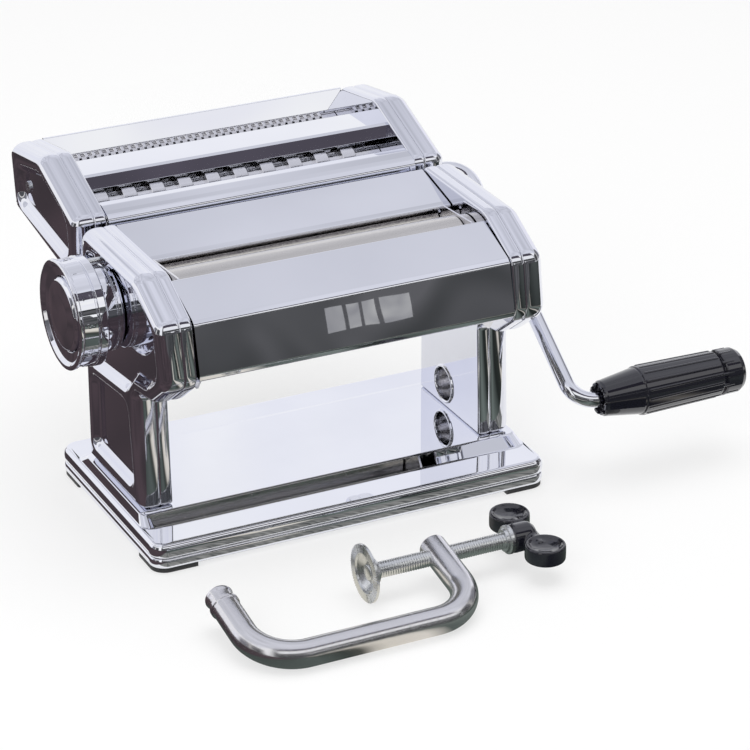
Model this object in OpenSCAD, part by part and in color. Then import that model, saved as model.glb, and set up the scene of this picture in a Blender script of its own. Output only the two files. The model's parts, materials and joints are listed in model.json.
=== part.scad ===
/* [Base] */
// Height of the base plate's rim, from its lower edge to the margin
base_h = 12.5; // [9:0.5:18]
// Depth of the base plate, front to back
base_d = 122.4; // [112:0.2:140]
// How far the base plate reaches past the side covers
base_margin = 5; // [3:0.5:12]
// Plan corner radius of the base plate
base_r = 8; // [5:0.5:12]
// Height of the platform that carries the legs
platform_h = 4; // [2:0.5:7]
// Run of the sloped step in front of and behind the platform
platform_run = 8; // [4:0.5:12]
// Height of the feet below the rim
foot_h = 2.5; // [1.5:0.5:6]
// Length of a corner foot along the rim
foot_l = 22; // [14:1:34]

/* [Cheeks] */
// Clear width between the inner plates
inner_w = 163; // [150:1:200]
// Width of the flange round an inner plate
flange_w = 6; // [5:0.5:9]
// Seam between an inner plate's flange and its outer cover
seam = 0.5; // [0.3:0.1:1]
// Depth of an outer cover
cover_w = 11; // [9:0.5:15]
// Rounding of an outer cover's edge
edge_r = 4.5; // [2.5:0.5:5]
// Depth of the recessed panel in an outer cover
panel_dip = 4; // [2:0.5:5]
// Sheet thickness of the cheeks
sheet = 1.2; // [0.8:0.1:1.5]
// Height of the main head's flat top
head_top = 137; // [134:0.5:150]
// Back of the legs and of the main head
leg_back = 33.5; // [30:0.5:40]
// Front edge of the legs at the platform
leg_front = -31; // [-36:0.5:-26]
// Diameter of the clamp hole in a leg
clamp_hole_d = 17; // [15:0.5:20]

/* [Smooth rollers] */
// Radius of a smooth roller
roller_r = 15.6; // [13:0.2:16]
// Where dough enters between the rollers, front to back
nip_y = -1.8; // [-4:0.2:1]
// Gap between the smooth rollers when nearly closed
roller_gap = 0.6; // [0.4:0.1:1.5]
// Widest opening travel of the front roller
gap_travel = 4.2; // [2:0.2:4.2]
// Sheet thickness of the front and rear covers
skin = 1; // [0.8:0.1:1.2]
// Room between a pasta guide's inner face and the inner plate
guide_room = 6.2; // [4.5:0.1:12]
// Radius of the roller journals
journal_r = 4.5; // [4:0.25:5]
// Running clearance of every turning fit, on the radius
fit = 0.06; // [0.02:0.01:0.1]

/* [Adjusting knob] */
// Knob axis, front to back
knob_y = 5.5; // [4:0.5:8]
// Knob axis, height
knob_z = 107.5; // [104:0.5:108]
// Radius of the knob's drum
knob_r = 26.5; // [24:0.5:30]
// Length of the drum
drum_w = 15; // [10:0.5:20]
// Radius of the knob's collar
collar_r = 20.8; // [17:0.2:21]
// Number of gap settings
settings = 10; // [6:1:10]

/* [Cutter head] */
// Highest point of the cutter head's cheeks
cutter_top = 154; // [152:0.5:160]
// Back of the cutter head at its top
cutter_back = 128; // [127:0.5:134]
// Space between the main head and the cutter head
cutter_space = 5.5; // [4:0.5:9]
// Outer radius of a wide-ribbon cutting disc
wide_r = 10.5; // [9:0.25:10.5]
// Depth of the grooves of the wide cutters
wide_depth = 2.5; // [1.5:0.25:3]
// Width of one wide disc and one groove together
wide_pitch = 14.8; // [10:0.2:20]
// Outer radius of a narrow-ribbon cutting disc
fine_r = 9; // [8:0.25:9]
// Depth of the grooves of the narrow cutters
fine_depth = 2.1; // [1.5:0.1:2.5]
// Width of one narrow disc and one groove together
fine_pitch = 3.9; // [3:0.1:6]

/* [Crank] */
// Diameter of the crank rod
crank_d = 8; // [6:0.5:9]
// Distance from the crank's axis to the grip's axis
crank_arm = 144; // [110:1:160]
// Bend radius of the crank rod
crank_bend = 12; // [9:0.5:16]
// Plane of the crank arm, to the right of the centre
crank_x = 118; // [112:1:130]
// Length of the grip
grip_l = 80; // [60:1:110]
// Largest radius of the grip
grip_r = 12.3; // [10:0.1:15]

/* [Table clamp] */
// Diameter of the clamp's rod
clamp_d = 13; // [10:0.5:14]
// Clamp bar's centreline, front to back
clamp_y = -165; // [-185:1:-155]
// Width of the clamp frame between its arms' centres
clamp_w = 108; // [90:1:130]
// Length of the clamp's arms
clamp_arm = 50; // [44:1:60]
// Diameter of the clamp screw
screw_d = 8; // [6:0.5:9]
// Radius of the swivel pad
pad_r = 13.5; // [10:0.5:14]
// Radius of a wing lobe
wing_r = 9.3; // [7:0.1:11]

/* [Hidden] */
$fn = 48;

eps = 0.01;               // overshoot of a cut through a face
gap = 0.3;                // clearance between pieces that move past each other
rest_play = 0.3;          // end play of a roller or cutter

// Stations across the machine, from the inner plate outwards (right side)
x_plate = inner_w / 2;                       // inner face of the inner plate
x_back = x_plate + sheet;                    // outer face of the inner plate
x_flange = x_plate + flange_w;               // edge of the flange
x_cover = x_flange + seam;                   // edge of the outer cover
x_face = x_cover + cover_w;                  // outer face of the cover
x_panel = x_face - panel_dip;                // outer face of the recessed panel
x_room = x_panel - sheet;                    // inner face of the recessed panel
base_w = 2 * (x_face + base_margin);

// Heights and places of the base
top_z = base_h + platform_h;
platform_back = leg_back + 2;
platform_front = leg_front - 4;

// Side outlines as [y, z, corner radius], anticlockwise seen from the right
head_front_top = [-60.5, head_top - 14];
head_front_low = [-65.5, head_top - 44];
chin = [-24, head_top - 71.5];
head_outline = [
    [leg_front, top_z, 1.5], [leg_back, top_z, 1.5], [leg_back, head_top, 3.5],
    [-33, head_top, 7], [head_front_top[0], head_front_top[1], 6],
    [head_front_low[0], head_front_low[1], 9], [chin[0], chin[1], 9]];
head_panel = [
    [-18, head_top - 66, 4], [leg_back - 6, head_top - 69, 4], [leg_back - 6, head_top - 4.8, 5],
    [-30, head_top - 4.8, 8], [-53, head_top - 18, 7], [-56.5, head_top - 42, 10]];
leg_panel = [
    [leg_front + 6.5, top_z + 9, 2], [leg_back - 4.5, top_z + 9, 2],
    [leg_back - 4.5, head_top - 77, 3], [-16, head_top - 75, 3]];

cutter_front = leg_back + cutter_space;
cutter_outline = [
    [cutter_front, 103, 8], [62, 104.5, 20], [cutter_back - 4.5, 113.5, 8],
    [cutter_back, cutter_top - 7, 5], [86, cutter_top, 12], [cutter_front + 2, 137, 5]];
cutter_panel = [
    [cutter_front + 11, 111, 9], [cutter_back - 11, 118.5, 8], [cutter_back - 7, cutter_top - 16, 9],
    [86, cutter_top - 7.5, 14], [cutter_front + 14, 138, 10]];

// Smooth rollers and their gears
rear_y = nip_y + roller_r;
front_y = nip_y - roller_gap - roller_r;
pitch_r = roller_r + roller_gap / 2;
gear_teeth = 14;
gear_tip = pitch_r + 2.3;
gear_root = pitch_r - 2.75;
roller_z = head_top - 7.2 - roller_r;        // just under the rear cover
carrier_x = x_back + gap;                    // inner face of a carrier
carrier_t = 2.5;
gear_x = carrier_x + carrier_t + 0.5;        // inner face of the roller gears
gear_w = 4.5;
bush_wall = 1.2;
bush_lip = 1;                                // how far a bush's rim reaches past its hole
socket_depth = 24;                           // depth of a crank socket
socket_wall = 1.5;
socket_r = crank_d / 2 + fit;
drive_journal_r = socket_r + socket_wall;
drive_end = x_panel - 0.5;                   // free end of a driven journal
hub_r = 8.5;                                 // shoulder between a roller's drum and its journal
guide_x = x_plate - guide_room;              // inner face of a pasta guide
guide_w = 2 * (guide_x - rest_play);         // length of a roller's drum

// Adjuster
shaft_r = 4;
cam_low = 7;
cam_x = carrier_x + carrier_t + 2.6;         // inner face of the cam
cam_t = 2.6;
setting_step = 30;
turn = (settings - 1) * setting_step;
pin_r = 1.6;
pin_ring = collar_r + pin_r + 0.4;           // radius on which the index pin sits
drum_back = x_panel + 11;                    // rear face of the drum
knob_face = drum_back + drum_w;
pin_turn = 82;                               // place of the pin round the knob

// Cutters
wide_y = cutter_front + 17.5;
wide_z = 122;
wide_root = wide_r - wide_depth;
wide_space = wide_r + wide_root + gap;
fine_y = wide_y + 41;
fine_z = 126;
fine_root = fine_r - fine_depth;
fine_space = fine_r + fine_root + gap;
wide_disc = wide_pitch / 2 - 0.35;
fine_disc = fine_pitch / 2 - 0.2;
cut_w = guide_w - 2;
cutter_journal_r = 4;
cutter_gear_x = x_back + 2.6;
cutter_gear_w = 5;

// Crank
crank_y = wide_y;
crank_z = wide_z;
arm_slope = atan2(-82, -118);                // the arm points forward and down
grip_y = crank_y + crank_arm * cos(arm_slope);
grip_z = crank_z + crank_arm * sin(arm_slope);
crank_in = x_panel - 0.5 - socket_depth + 1.5;
grip_x = crank_x + crank_bend;
grip_nose = 23;
spindle_r = crank_d / 2 - 1;
cap_l = 12;

// Table clamp, lying on its bar and on its wing
clamp_r = clamp_d / 2;
clamp_z = clamp_r - foot_h;
clamp_x = -42;                               // middle of the clamp frame
clamp_bend = 22;
clamp_tilt = 10.6;
screw_s = clamp_arm - 8;                     // screw axis along the arm
screw_r = screw_d / 2;
screw_y = clamp_y + screw_s * cos(clamp_tilt);
screw_z = clamp_z + screw_s * sin(clamp_tilt);
arm_x = clamp_x + clamp_w / 2;
pad_x = arm_x - 39;                          // working face of the pad
pad_t = 6;
wing_x = arm_x + 33;                         // rear face of the collar
wing_span = 17.5;
wing_hub_r = 7;

// ---------- outline helpers ----------

// Points of an outline whose corners are rounded: [[y, z, radius], ...]
function rounded(c, n = 6) = let (m = len(c)) [for (i = [0:m - 1])
    let (
        p = [c[i][0], c[i][1]],
        q = c[(i + m - 1) % m],
        s = c[(i + 1) % m],
        u = [q[0] - p[0], q[1] - p[1]] / norm([q[0] - p[0], q[1] - p[1]]),
        v = [s[0] - p[0], s[1] - p[1]] / norm([s[0] - p[0], s[1] - p[1]]),
        half = acos(u * v) / 2,
        o = p + (u + v) / norm(u + v) * c[i][2] / sin(half),
        a = p + u * c[i][2] / tan(half) - o,
        b = p + v * c[i][2] / tan(half) - o,
        a0 = atan2(a[1], a[0]),
        swing = (atan2(b[1], b[0]) - a0 + 540) % 360 - 180)
    for (k = [0:n]) o + c[i][2] * [cos(a0 + swing * k / n), sin(a0 + swing * k / n)]];

// The same corners with every edge moved inwards by d
function inset(c, d) = let (m = len(c)) [for (i = [0:m - 1])
    let (
        q = c[(i + m - 1) % m],
        s = c[(i + 1) % m],
        e = [c[i][0] - q[0], c[i][1] - q[1]] / norm([c[i][0] - q[0], c[i][1] - q[1]]),
        f = [s[0] - c[i][0], s[1] - c[i][1]] / norm([s[0] - c[i][0], s[1] - c[i][1]]),
        n1 = [-e[1], e[0]],
        n2 = [-f[1], f[0]],
        move = d * (n1 + n2) / (1 + n1 * n2),
        bend = e[0] * f[1] - e[1] * f[0])
    [c[i][0] + move[0], c[i][1] + move[1], max(c[i][2] + (bend > 0 ? -d : d), 0.4)]];

// Closed outline of a bent strip: the open line p, and the same line moved left by t
function strip(p, t) = let (
    n = len(p),
    left = [for (i = [0:n - 1])
        let (
            e = i > 0 ? (p[i] - p[i - 1]) / norm(p[i] - p[i - 1]) : undef,
            f = i < n - 1 ? (p[i + 1] - p[i]) / norm(p[i + 1] - p[i]) : undef,
            e1 = i > 0 ? e : f,
            f1 = i < n - 1 ? f : e,
            n1 = [-e1[1], e1[0]],
            n2 = [-f1[1], f1[0]])
        p[i] + t * (n1 + n2) / (1 + n1 * n2)])
    concat(p, [for (i = [n - 1:-1:0]) left[i]]);

// A solid through equal rings of points, closed at both ends
module loft(rings) {
    n = len(rings[0]);
    m = len(rings);
    polyhedron(
        points = [for (r = rings) for (p = r) p],
        faces = concat(
            [[for (i = [0:n - 1]) i]],
            [for (j = [0:m - 2]) for (i = [0:n - 1]) for (t = [0:1])
                let (a = j * n + i, b = j * n + (i + 1) % n)
                t == 0 ? [a, b + n, b] : [a, a + n, b + n]],
            [[for (i = [0:n - 1]) m * n - 1 - i]]));
}

// Rings of a rounded-edge prism along X: outline c, from x0 to x1, edge radius r
function edge_rings(c, x0, x1, r, steps = 4) = concat(
    [[for (p = rounded(c)) [x0, p[0], p[1]]]],
    [for (k = [0:steps])
        let (a = 90 * k / steps)
        [for (p = rounded(inset(c, r * (1 - cos(a))))) [x1 - r + r * sin(a), p[0], p[1]]]]);

// A side outline extruded across the machine from x0 to x1
module slab(x0, x1) {
    translate([x0, 0, 0]) rotate([90, 0, 90]) linear_extrude(x1 - x0) children();
}

// A rod along X from x0 to x1
module rod(x0, x1, y, z, r) {
    translate([x0, y, z]) rotate([0, 90, 0]) cylinder(h = x1 - x0, r = r);
}

// Draws its children on the right, or mirrored on the left
module on_side(s) {
    if (s > 0) children();
    else mirror([1, 0, 0]) children();
}

// A rectangle with round corners
module round_rect(w, d, r) {
    square([w - 2 * r, d], center = true);
    square([w, d - 2 * r], center = true);
    for (x = [-1, 1]) for (y = [-1, 1])
        translate([x * (w / 2 - r), y * (d / 2 - r)]) circle(r = r);
}

// ---------- base ----------

// One level of the base plate, w by d, from z0 to z1
module level(w, d, r, z0, z1) {
    translate([0, 0, z0]) linear_extrude(z1 - z0) round_rect(w, d, r);
}

// The sloped platform; grow makes it larger or smaller all round
module platform(grow, z0, z1) {
    hull() {
        for (e = [0, 1])
            translate([0, (platform_back + platform_front) / 2, e == 0 ? z0 : z1 - 0.1])
                linear_extrude(0.1) round_rect(
                    2 * (x_face + 0.6 + grow + (1 - e) * (base_margin - 3)),
                    platform_back - platform_front + 2 * grow + 2 * (1 - e) * platform_run,
                    max(3, base_r / 2), $fn = 24);
    }
}

module base_plate() {
    color([0.86, 0.87, 0.91]) difference() {
        union() {
            level(base_w, base_d, base_r, 0, base_h * 0.44);
            level(base_w - 1.2, base_d - 1.2, base_r - 0.6, base_h * 0.44, base_h * 0.52);
            level(base_w - 0.4, base_d - 0.4, base_r - 0.2, base_h * 0.52, base_h - 1.4);
            level(base_w - 1.4, base_d - 1.4, base_r - 0.7, base_h - 1.4, base_h - 0.6);
            level(base_w - 3.2, base_d - 3.2, base_r - 1.6, base_h - 0.6, base_h);
            platform(0, base_h - eps, top_z);
        }
        level(base_w - 4.4, base_d - 4.4, base_r - 2.2, -1, base_h - sheet);
        platform(-sheet, base_h - sheet - eps, top_z - sheet);
        for (s = [-1, 1]) on_side(s) leg_screw_places() cylinder(h = 20, r = 1.7, center = true);
    }
}

// Four feet that grip the rim's corners from below
module base_feet() {
    color([0.08, 0.08, 0.08]) for (x = [-1, 1]) for (y = [-1, 1])
        scale([x, y, 1]) intersection() {
            difference() {
                level(base_w - 1.6, base_d - 1.6, base_r - 0.8, -foot_h, 0);
                level(base_w - 14, base_d - 14, base_r - 3, -foot_h - 1, 1);
            }
            translate([base_w / 2 - foot_l, base_d / 2 - foot_l, -foot_h])
                cube([foot_l + 1, foot_l + 1, foot_h]);
        }
}

// Places of the screws through the right leg's bottom flange
module leg_screw_places() {
    for (y = [leg_front + 14, leg_back - 12])
        translate([(x_back + x_flange) / 2, y, top_z]) children();
}

module leg_screws() {
    color("silver") for (s = [-1, 1]) on_side(s) leg_screw_places() {
        translate([0, 0, sheet]) cylinder(h = 2, r = 2.2);
        translate([0, 0, -sheet - 3.4]) cylinder(h = 2 * sheet + 3.5, r = 1.5);
        translate([0, 0, -sheet - 2.4]) cylinder(h = 2.4, r = 2.3, $fn = 6);
    }
}

// ---------- cheeks ----------

// A flanged sheet: the inner half of a cheek
module flanged_plate(c) {
    difference() {
        slab(x_plate, x_flange) polygon(rounded(c));
        slab(x_back, x_flange + 1) polygon(rounded(inset(c, sheet)));
    }
}

// An outer cover with rounded edges and recessed panels
module cover_shell(c, panels) {
    difference() {
        union() {
            difference() {
                loft(edge_rings(c, x_cover, x_face, edge_r));
                slab(x_cover - 1, x_face - edge_r) polygon(rounded(inset(c, sheet)));
                slab(x_cover - 1, x_face - sheet) polygon(rounded(inset(c, sheet + edge_r * 0.4)));
            }
            for (p = panels) slab(x_room, x_face - sheet / 2) polygon(rounded(inset(p, -sheet)));
        }
        for (p = panels) slab(x_panel, x_face + 1) polygon(rounded(p));
    }
}

module main_inner_plate(s) {
    on_side(s) difference() {
        union() {
            flanged_plate(head_outline);
            // Rolled lip round the clamp hole
            rod(x_plate - 0.8, x_back, 7, top_z + 12.5, clamp_hole_d / 2 + 1.6);
        }
        rod(x_plate - 2, x_back + 1, 7, top_z + 12.5, clamp_hole_d / 2);
        rod(x_plate - 1, x_back + 1, rear_y, roller_z, rear_journal(s) + bush_wall);
        // Slot in which the front roller's journal travels
        for (y = [front_y - gap_travel, front_y])
            rod(x_plate - 1, x_back + 1, y, roller_z, journal_r + gap);
        translate([x_plate - 1, front_y - gap_travel, roller_z - journal_r - gap])
            cube([sheet + 2, gap_travel, 2 * (journal_r + gap)]);
        if (s < 0) rod(x_plate - 1, x_back + 1, knob_y, knob_z, shaft_r - 1 + fit);
        for (p = tie_places) rod(x_plate - 1, x_back + 1, p[0], p[1], tie_neck);
        leg_screw_places() cylinder(h = 12, r = 1.7, center = true);
    }
}

module left_inner_plate() {
    color([0.8, 0.81, 0.85]) main_inner_plate(-1);
}

module right_inner_plate() {
    color([0.8, 0.81, 0.85]) main_inner_plate(1);
}

module left_outer_cover() {
    color([0.76, 0.76, 0.8]) on_side(-1) difference() {
        cover_shell(head_outline, [head_panel, leg_panel]);
        rod(x_room - 1, x_panel + 1, knob_y, knob_z, shaft_r + fit);
        index_pin_hole(pin_r);
    }
}

module right_outer_cover() {
    color([0.76, 0.76, 0.8]) difference() {
        cover_shell(head_outline, [head_panel, leg_panel]);
        rod(x_room - 1, x_panel + 1, rear_y, roller_z, drive_journal_r + gap);
    }
}

// ---------- covers and guides of the main head ----------

cover_half = guide_w / 2 + 3;                // the covers end here
front_line = [[-31.5, head_top - 7.6], [-33.5, head_top - 4.2], [-58, head_top - 14.2],
    [-60.2, head_top - 16], [-65.7, head_top - 39.6], [-65, head_top - 42],
    [-62.5, head_top - 43.4], [-59, head_top - 42.6]];
rear_line = [[1.5, head_top - 12.2], [0.4, head_top - 9], [4, head_top - 7.9],
    [leg_back - 2, head_top - 1.4], [leg_back, head_top - 3.4], [leg_back, head_top - 62]];
tie_r = 3.2;                                 // spacer tubes of the head
tie_neck = 2;                                // their screws, through the plates
tie_places = [[-52, head_top - 22], [-52, head_top - 40], [leg_back - 6, head_top - 48]];

module front_cover() {
    color([0.8, 0.81, 0.85]) {
        slab(-cover_half, cover_half) polygon(strip(front_line, skin));
        // End brackets that rest on the two front tie rods
        for (x = [-cover_half, cover_half - skin]) slab(x, x + skin)
            difference() {
                polygon(concat([for (i = [1:6]) front_line[i]],
                    [[-47, head_top - 46], [-47, head_top - 10.2]]));
                polygon(strip(front_line, skin / 2));
                for (i = [0, 1]) translate(tie_places[i]) circle(r = tie_r + 0.1);
            }
    }
}

module rear_cover() {
    color([0.8, 0.81, 0.85]) {
        slab(-cover_half, cover_half) polygon(strip([for (i = [5:-1:0]) rear_line[i]], skin));
        for (x = [-cover_half, cover_half - skin]) slab(x, x + skin)
            difference() {
                polygon([[leg_back - skin / 2, head_top - 54], [leg_back - skin / 2, head_top - 40],
                    [leg_back - 11, head_top - 43], [leg_back - 11, head_top - 52]]);
                translate(tie_places[2]) circle(r = tie_r + 0.1);
            }
    }
}

// Plates that keep the dough off the cheeks, threaded on the tie rods
module pasta_guides() {
    color([0.84, 0.85, 0.88]) for (s = [-1, 1]) on_side(s)
        slab(guide_x, guide_x + skin) difference() {
            polygon([[leg_back - skin - gap, head_top - 53], [leg_back - skin - gap, head_top - 5.5],
                [3.2, head_top - 10.2], [3.2, head_top - 12.8], [-0.3, head_top - 12.8],
                [-0.3, head_top - 7.7], [-30.8, head_top - 5.4], [-30.8, head_top - 8.7],
                [-34.5, head_top - 8.7], [-35.5, head_top - 6.7], [-57.5, head_top - 15.8],
                [-58, head_top - 42], [-50, head_top - 53]]);
            for (y = [front_y - gap_travel, front_y, rear_y])
                translate([y, roller_z]) circle(r = hub_r + 0.5);
            translate([front_y - gap_travel, roller_z - hub_r - 0.5])
                square([gap_travel, 2 * hub_r + 1]);
            for (p = tie_places) translate(p) circle(r = tie_r + 0.1);
            for (y = scraper_y) translate([y - scraper_front - fit_cut, scraper_z - scraper_h - fit_cut])
                square([scraper_d + 2 * fit_cut, scraper_h + 2 * fit_cut]);
        }
}

module head_tie_rods() {
    color("gray") for (p = tie_places) {
        rod(-x_plate, x_plate, p[0], p[1], tie_r);
        rod(-x_back - 0.1, x_back + 0.1, p[0], p[1], tie_neck);
        for (s = [-1, 1]) on_side(s) rod(x_back, x_back + 2.4, p[0], p[1], 3.4);
    }
}

// ---------- smooth rollers ----------

// Radius of the rear roller's journal on side s; the right one holds the crank socket
function rear_journal(s) = s > 0 ? drive_journal_r : journal_r;

module roller_bushes() {
    color([0.9, 0.88, 0.8]) for (s = [-1, 1]) on_side(s) difference() {
        union() {
            rod(x_plate, x_back, rear_y, roller_z, rear_journal(s) + bush_wall);
            rod(x_back, x_back + 1.6, rear_y, roller_z, rear_journal(s) + bush_wall + bush_lip);
        }
        rod(x_plate - 1, x_back + 3, rear_y, roller_z, rear_journal(s) + fit);
    }
}

scraper_y = [front_y - 5, rear_y + 3];
scraper_z = roller_z - roller_r - 0.4;       // top edge of a scraper
scraper_d = 9;                               // depth of a scraper's foot
scraper_h = 6;
scraper_edge = 3;                            // width of its flat top
scraper_front = 4;                           // its foot's front, before the scraper's place
fit_cut = 0.2;                               // clearance of a piece threaded through a guide

// Scraper bars under the rollers, held between the inner plates
module roller_scrapers() {
    z = scraper_z;
    color([0.85, 0.85, 0.8]) for (y = scraper_y) slab(-x_plate, x_plate)
        polygon([[y - scraper_front, z - scraper_h], [y - scraper_front + scraper_d, z - scraper_h],
            [y + scraper_edge + 1, z], [y + 1, z]]);
}

// Rails that the carriers of the front roller slide between
module carrier_guides() {
    color("gray") for (s = [-1, 1]) on_side(s) for (u = [-1, 1])
        translate([x_back, front_y - gap_travel - 5, roller_z + u * (carrier_half + gap + 1.5) - 1.5])
            cube([carrier_t + gap, gap_travel + 12, 3]);
}

carrier_half = journal_r + 3.6;              // half height of a carrier
arm_z = roller_z - carrier_half;             // lower edge of the carrier's arm
pad_front = knob_y - cam_low - 0.1;          // face that the cam bears on

module carrier(s) {
    on_side(s) difference() {
        union() {
            translate([carrier_x, front_y - carrier_half, roller_z - carrier_half])
                cube([carrier_t, 2 * carrier_half, 2 * carrier_half]);
            if (s < 0) {
                // Arm with the pad that the cam pushes
                translate([carrier_x, front_y, arm_z])
                    cube([carrier_t, pad_front - front_y, knob_z + 5 - arm_z]);
                translate([carrier_x, pad_front - 4, arm_z])
                    cube([cam_x + cam_t + gap - carrier_x, 4, knob_z + 5 - arm_z]);
            }
        }
        rod(carrier_x - 1, carrier_x + carrier_t + 1, front_y, roller_z, journal_r + fit);
    }
}

module left_carrier() {
    color([0.6, 0.6, 0.62]) carrier(-1);
}

module right_carrier() {
    color([0.6, 0.6, 0.62]) carrier(1);
}

// The smooth drum and its two shoulders
module roller_drum(y) {
    rod(-guide_w / 2, guide_w / 2, y, roller_z, roller_r);
    rod(-x_plate + rest_play, x_plate - rest_play, y, roller_z, hub_r);
}

module front_roller() {
    color([0.8, 0.78, 0.75]) {
        roller_drum(front_y);
        rod(-carrier_x - carrier_t - 0.4, gear_x + gear_w, front_y, roller_z, journal_r);
    }
}

module rear_roller() {
    color([0.8, 0.78, 0.75]) difference() {
        union() {
            roller_drum(rear_y);
            rod(-x_back - 3, 0, rear_y, roller_z, journal_r);
            rod(0, drive_end, rear_y, roller_z, drive_journal_r);
        }
        rod(drive_end - socket_depth, drive_end + 1, rear_y, roller_z, socket_r);
    }
}

// Flat gear with long teeth; half is the tooth's half width at its root and at its tip
module gear(teeth, root, tip, half, bore, w, phase) {
    rotate([90, 0, 90]) linear_extrude(w) difference() {
        union() {
            circle(r = root);
            for (i = [0:teeth - 1]) rotate(phase + i * 360 / teeth)
                polygon([[root - 1.5, -half[0]], [root, -half[0]], [tip, -half[1]],
                    [tip, half[1]], [root, half[0]], [root - 1.5, half[0]]]);
        }
        circle(r = bore);
    }
}

roller_tooth = [2.2, 0.55];                  // half widths of a tooth at root and tip

module front_roller_gear() {
    color("dimgray") translate([gear_x, front_y, roller_z])
        gear(gear_teeth, gear_root, gear_tip, roller_tooth, journal_r, gear_w, 0);
}

module rear_roller_gear() {
    color("dimgray") translate([gear_x, rear_y, roller_z])
        gear(gear_teeth, gear_root, gear_tip, roller_tooth, drive_journal_r, gear_w,
            180 + 180 / gear_teeth);
}

// ---------- adjusting knob ----------

// Radius of the cam where it faces the pad after a turn of a degrees
function cam_r(a) = cam_low + gap_travel * min(max(a, 0), turn) / turn;

module adjuster_shaft() {
    color("gray") on_side(-1) {
        rod(x_plate, x_back + 2, knob_y, knob_z, shaft_r - 1);
        rod(x_back + 2, drum_back + 8, knob_y, knob_z, shaft_r);
        rod(drum_back + 7, drum_back + 9, knob_y, knob_z, shaft_r + 4);
    }
}

module adjuster_cam() {
    color([0.5, 0.45, 0.4]) on_side(-1) translate([cam_x, knob_y, knob_z])
        rotate([90, 0, 90]) linear_extrude(cam_t) difference() {
            polygon([for (a = [-20:10:turn + 20]) cam_r(a) * [-cos(a), -sin(a)]]);
            circle(r = shaft_r);
        }
}

// Place on the index ring, pulled round by a degrees
module on_ring(a) {
    translate([0, knob_y + pin_ring * cos(a), knob_z + pin_ring * sin(a)]) children();
}

module index_pin_hole(r) {
    on_ring(pin_turn) rod(x_room - 1, x_panel + 1, 0, 0, r);
}

module knob_index_pin() {
    color("silver") on_side(-1) on_ring(pin_turn) {
        rod(x_room, drum_back + 1.7, 0, 0, pin_r);
        rod(x_room - 1, x_room, 0, 0, pin_r + 1);
    }
}

module adjuster_knob() {
    color([0.82, 0.82, 0.86]) on_side(-1) difference() {
        translate([0, knob_y, knob_z]) rotate([0, 90, 0]) rotate_extrude() polygon([
            [0, x_panel + 0.4], [collar_r - 1.3, x_panel + 0.4], [collar_r, x_panel + 3],
            [collar_r, drum_back], [knob_r - 0.8, drum_back], [knob_r - 0.2, drum_back + 0.8],
            [knob_r - 0.2, drum_back + 4.6], [knob_r - 1, drum_back + 5],
            [knob_r - 0.6, drum_back + 5.4], [knob_r - 0.9, knob_face - 2.4],
            [knob_r, knob_face - 1.6], [knob_r, knob_face - 0.7], [knob_r - 0.8, knob_face],
            [knob_r - 2.4, knob_face], [knob_r - 3.6, knob_face - 1.4],
            [cap_seat_r, knob_face - 3], [0, knob_face - 3]]);
        rod(x_panel, knob_face, knob_y, knob_z, shaft_r + fit);
        // Room for the shaft's head and the return spring
        rod(drum_back + 1.5, knob_face, knob_y, knob_z, 9.5);
        // Ring that clears the index pin, with a pocket for each setting
        difference() {
            rod(drum_back - 1, drum_back + 2.5, knob_y, knob_z, pin_ring + pin_r + 0.4);
            rod(drum_back - 2, drum_back + 3, knob_y, knob_z, collar_r);
        }
        for (i = [0:settings - 1]) on_ring(pin_turn + i * setting_step)
            rod(drum_back + 2, drum_back + 4, 0, 0, pin_r + 0.3);
    }
}

cap_seat_r = 18;

module knob_cap() {
    color([0.7, 0.7, 0.78]) on_side(-1) translate([0, knob_y, knob_z]) rotate([0, 90, 0])
        rotate_extrude() polygon([[0, knob_face - 3], [cap_seat_r - 0.2, knob_face - 3],
            [cap_seat_r - 0.2, knob_face - 2], [cap_seat_r - 1.5, knob_face - 1],
            [cap_seat_r - 7, knob_face], [0, knob_face + 0.5]]);
}

// ---------- cutter head ----------

cutter_axes = [[wide_y, wide_z], [wide_y + wide_space, wide_z],
    [fine_y, fine_z], [fine_y + fine_space, fine_z]];
cutter_ties = [[cutter_front + 5, 112], [wide_y + 28.5, 140], [wide_y + 30, 113]];
driven_journal_r = cutter_journal_r;

// Is the cutter on axis i turned by the crank?
function driven_by_crank(i) = i == 0 || i == 2;
function cutter_bore(i) = driven_by_crank(i) ? drive_journal_r : driven_journal_r;

module cutter_inner_plate(s) {
    on_side(s) difference() {
        flanged_plate(cutter_outline);
        for (i = [0:3])
            rod(x_plate - 1, x_back + 1, cutter_axes[i][0], cutter_axes[i][1],
                (s > 0 ? cutter_bore(i) : driven_journal_r) + bush_wall);
        for (p = cutter_ties) rod(x_plate - 1, x_back + 1, p[0], p[1], tie_neck);
    }
}

module cutter_left_plate() {
    color([0.8, 0.81, 0.85]) cutter_inner_plate(-1);
}

module cutter_right_plate() {
    color([0.8, 0.81, 0.85]) cutter_inner_plate(1);
}

module cutter_left_cover() {
    color([0.76, 0.76, 0.8]) on_side(-1) difference() {
        cover_shell(cutter_outline, [cutter_panel]);
        rivet_place() rod(x_room - 1, x_panel + 1, 0, 0, rivet_r);
    }
}

module cutter_right_cover() {
    color([0.76, 0.76, 0.8]) difference() {
        cover_shell(cutter_outline, [cutter_panel]);
        rivet_place() rod(x_room - 1, x_panel + 1, 0, 0, rivet_r);
        for (i = [0, 2]) rod(x_room - 1, x_panel + 1, cutter_axes[i][0], cutter_axes[i][1],
            drive_journal_r + gap);
    }
}

rivet_r = 1.5;

module rivet_place() {
    translate([0, cutter_back - 17, 129]) children();
}

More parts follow.
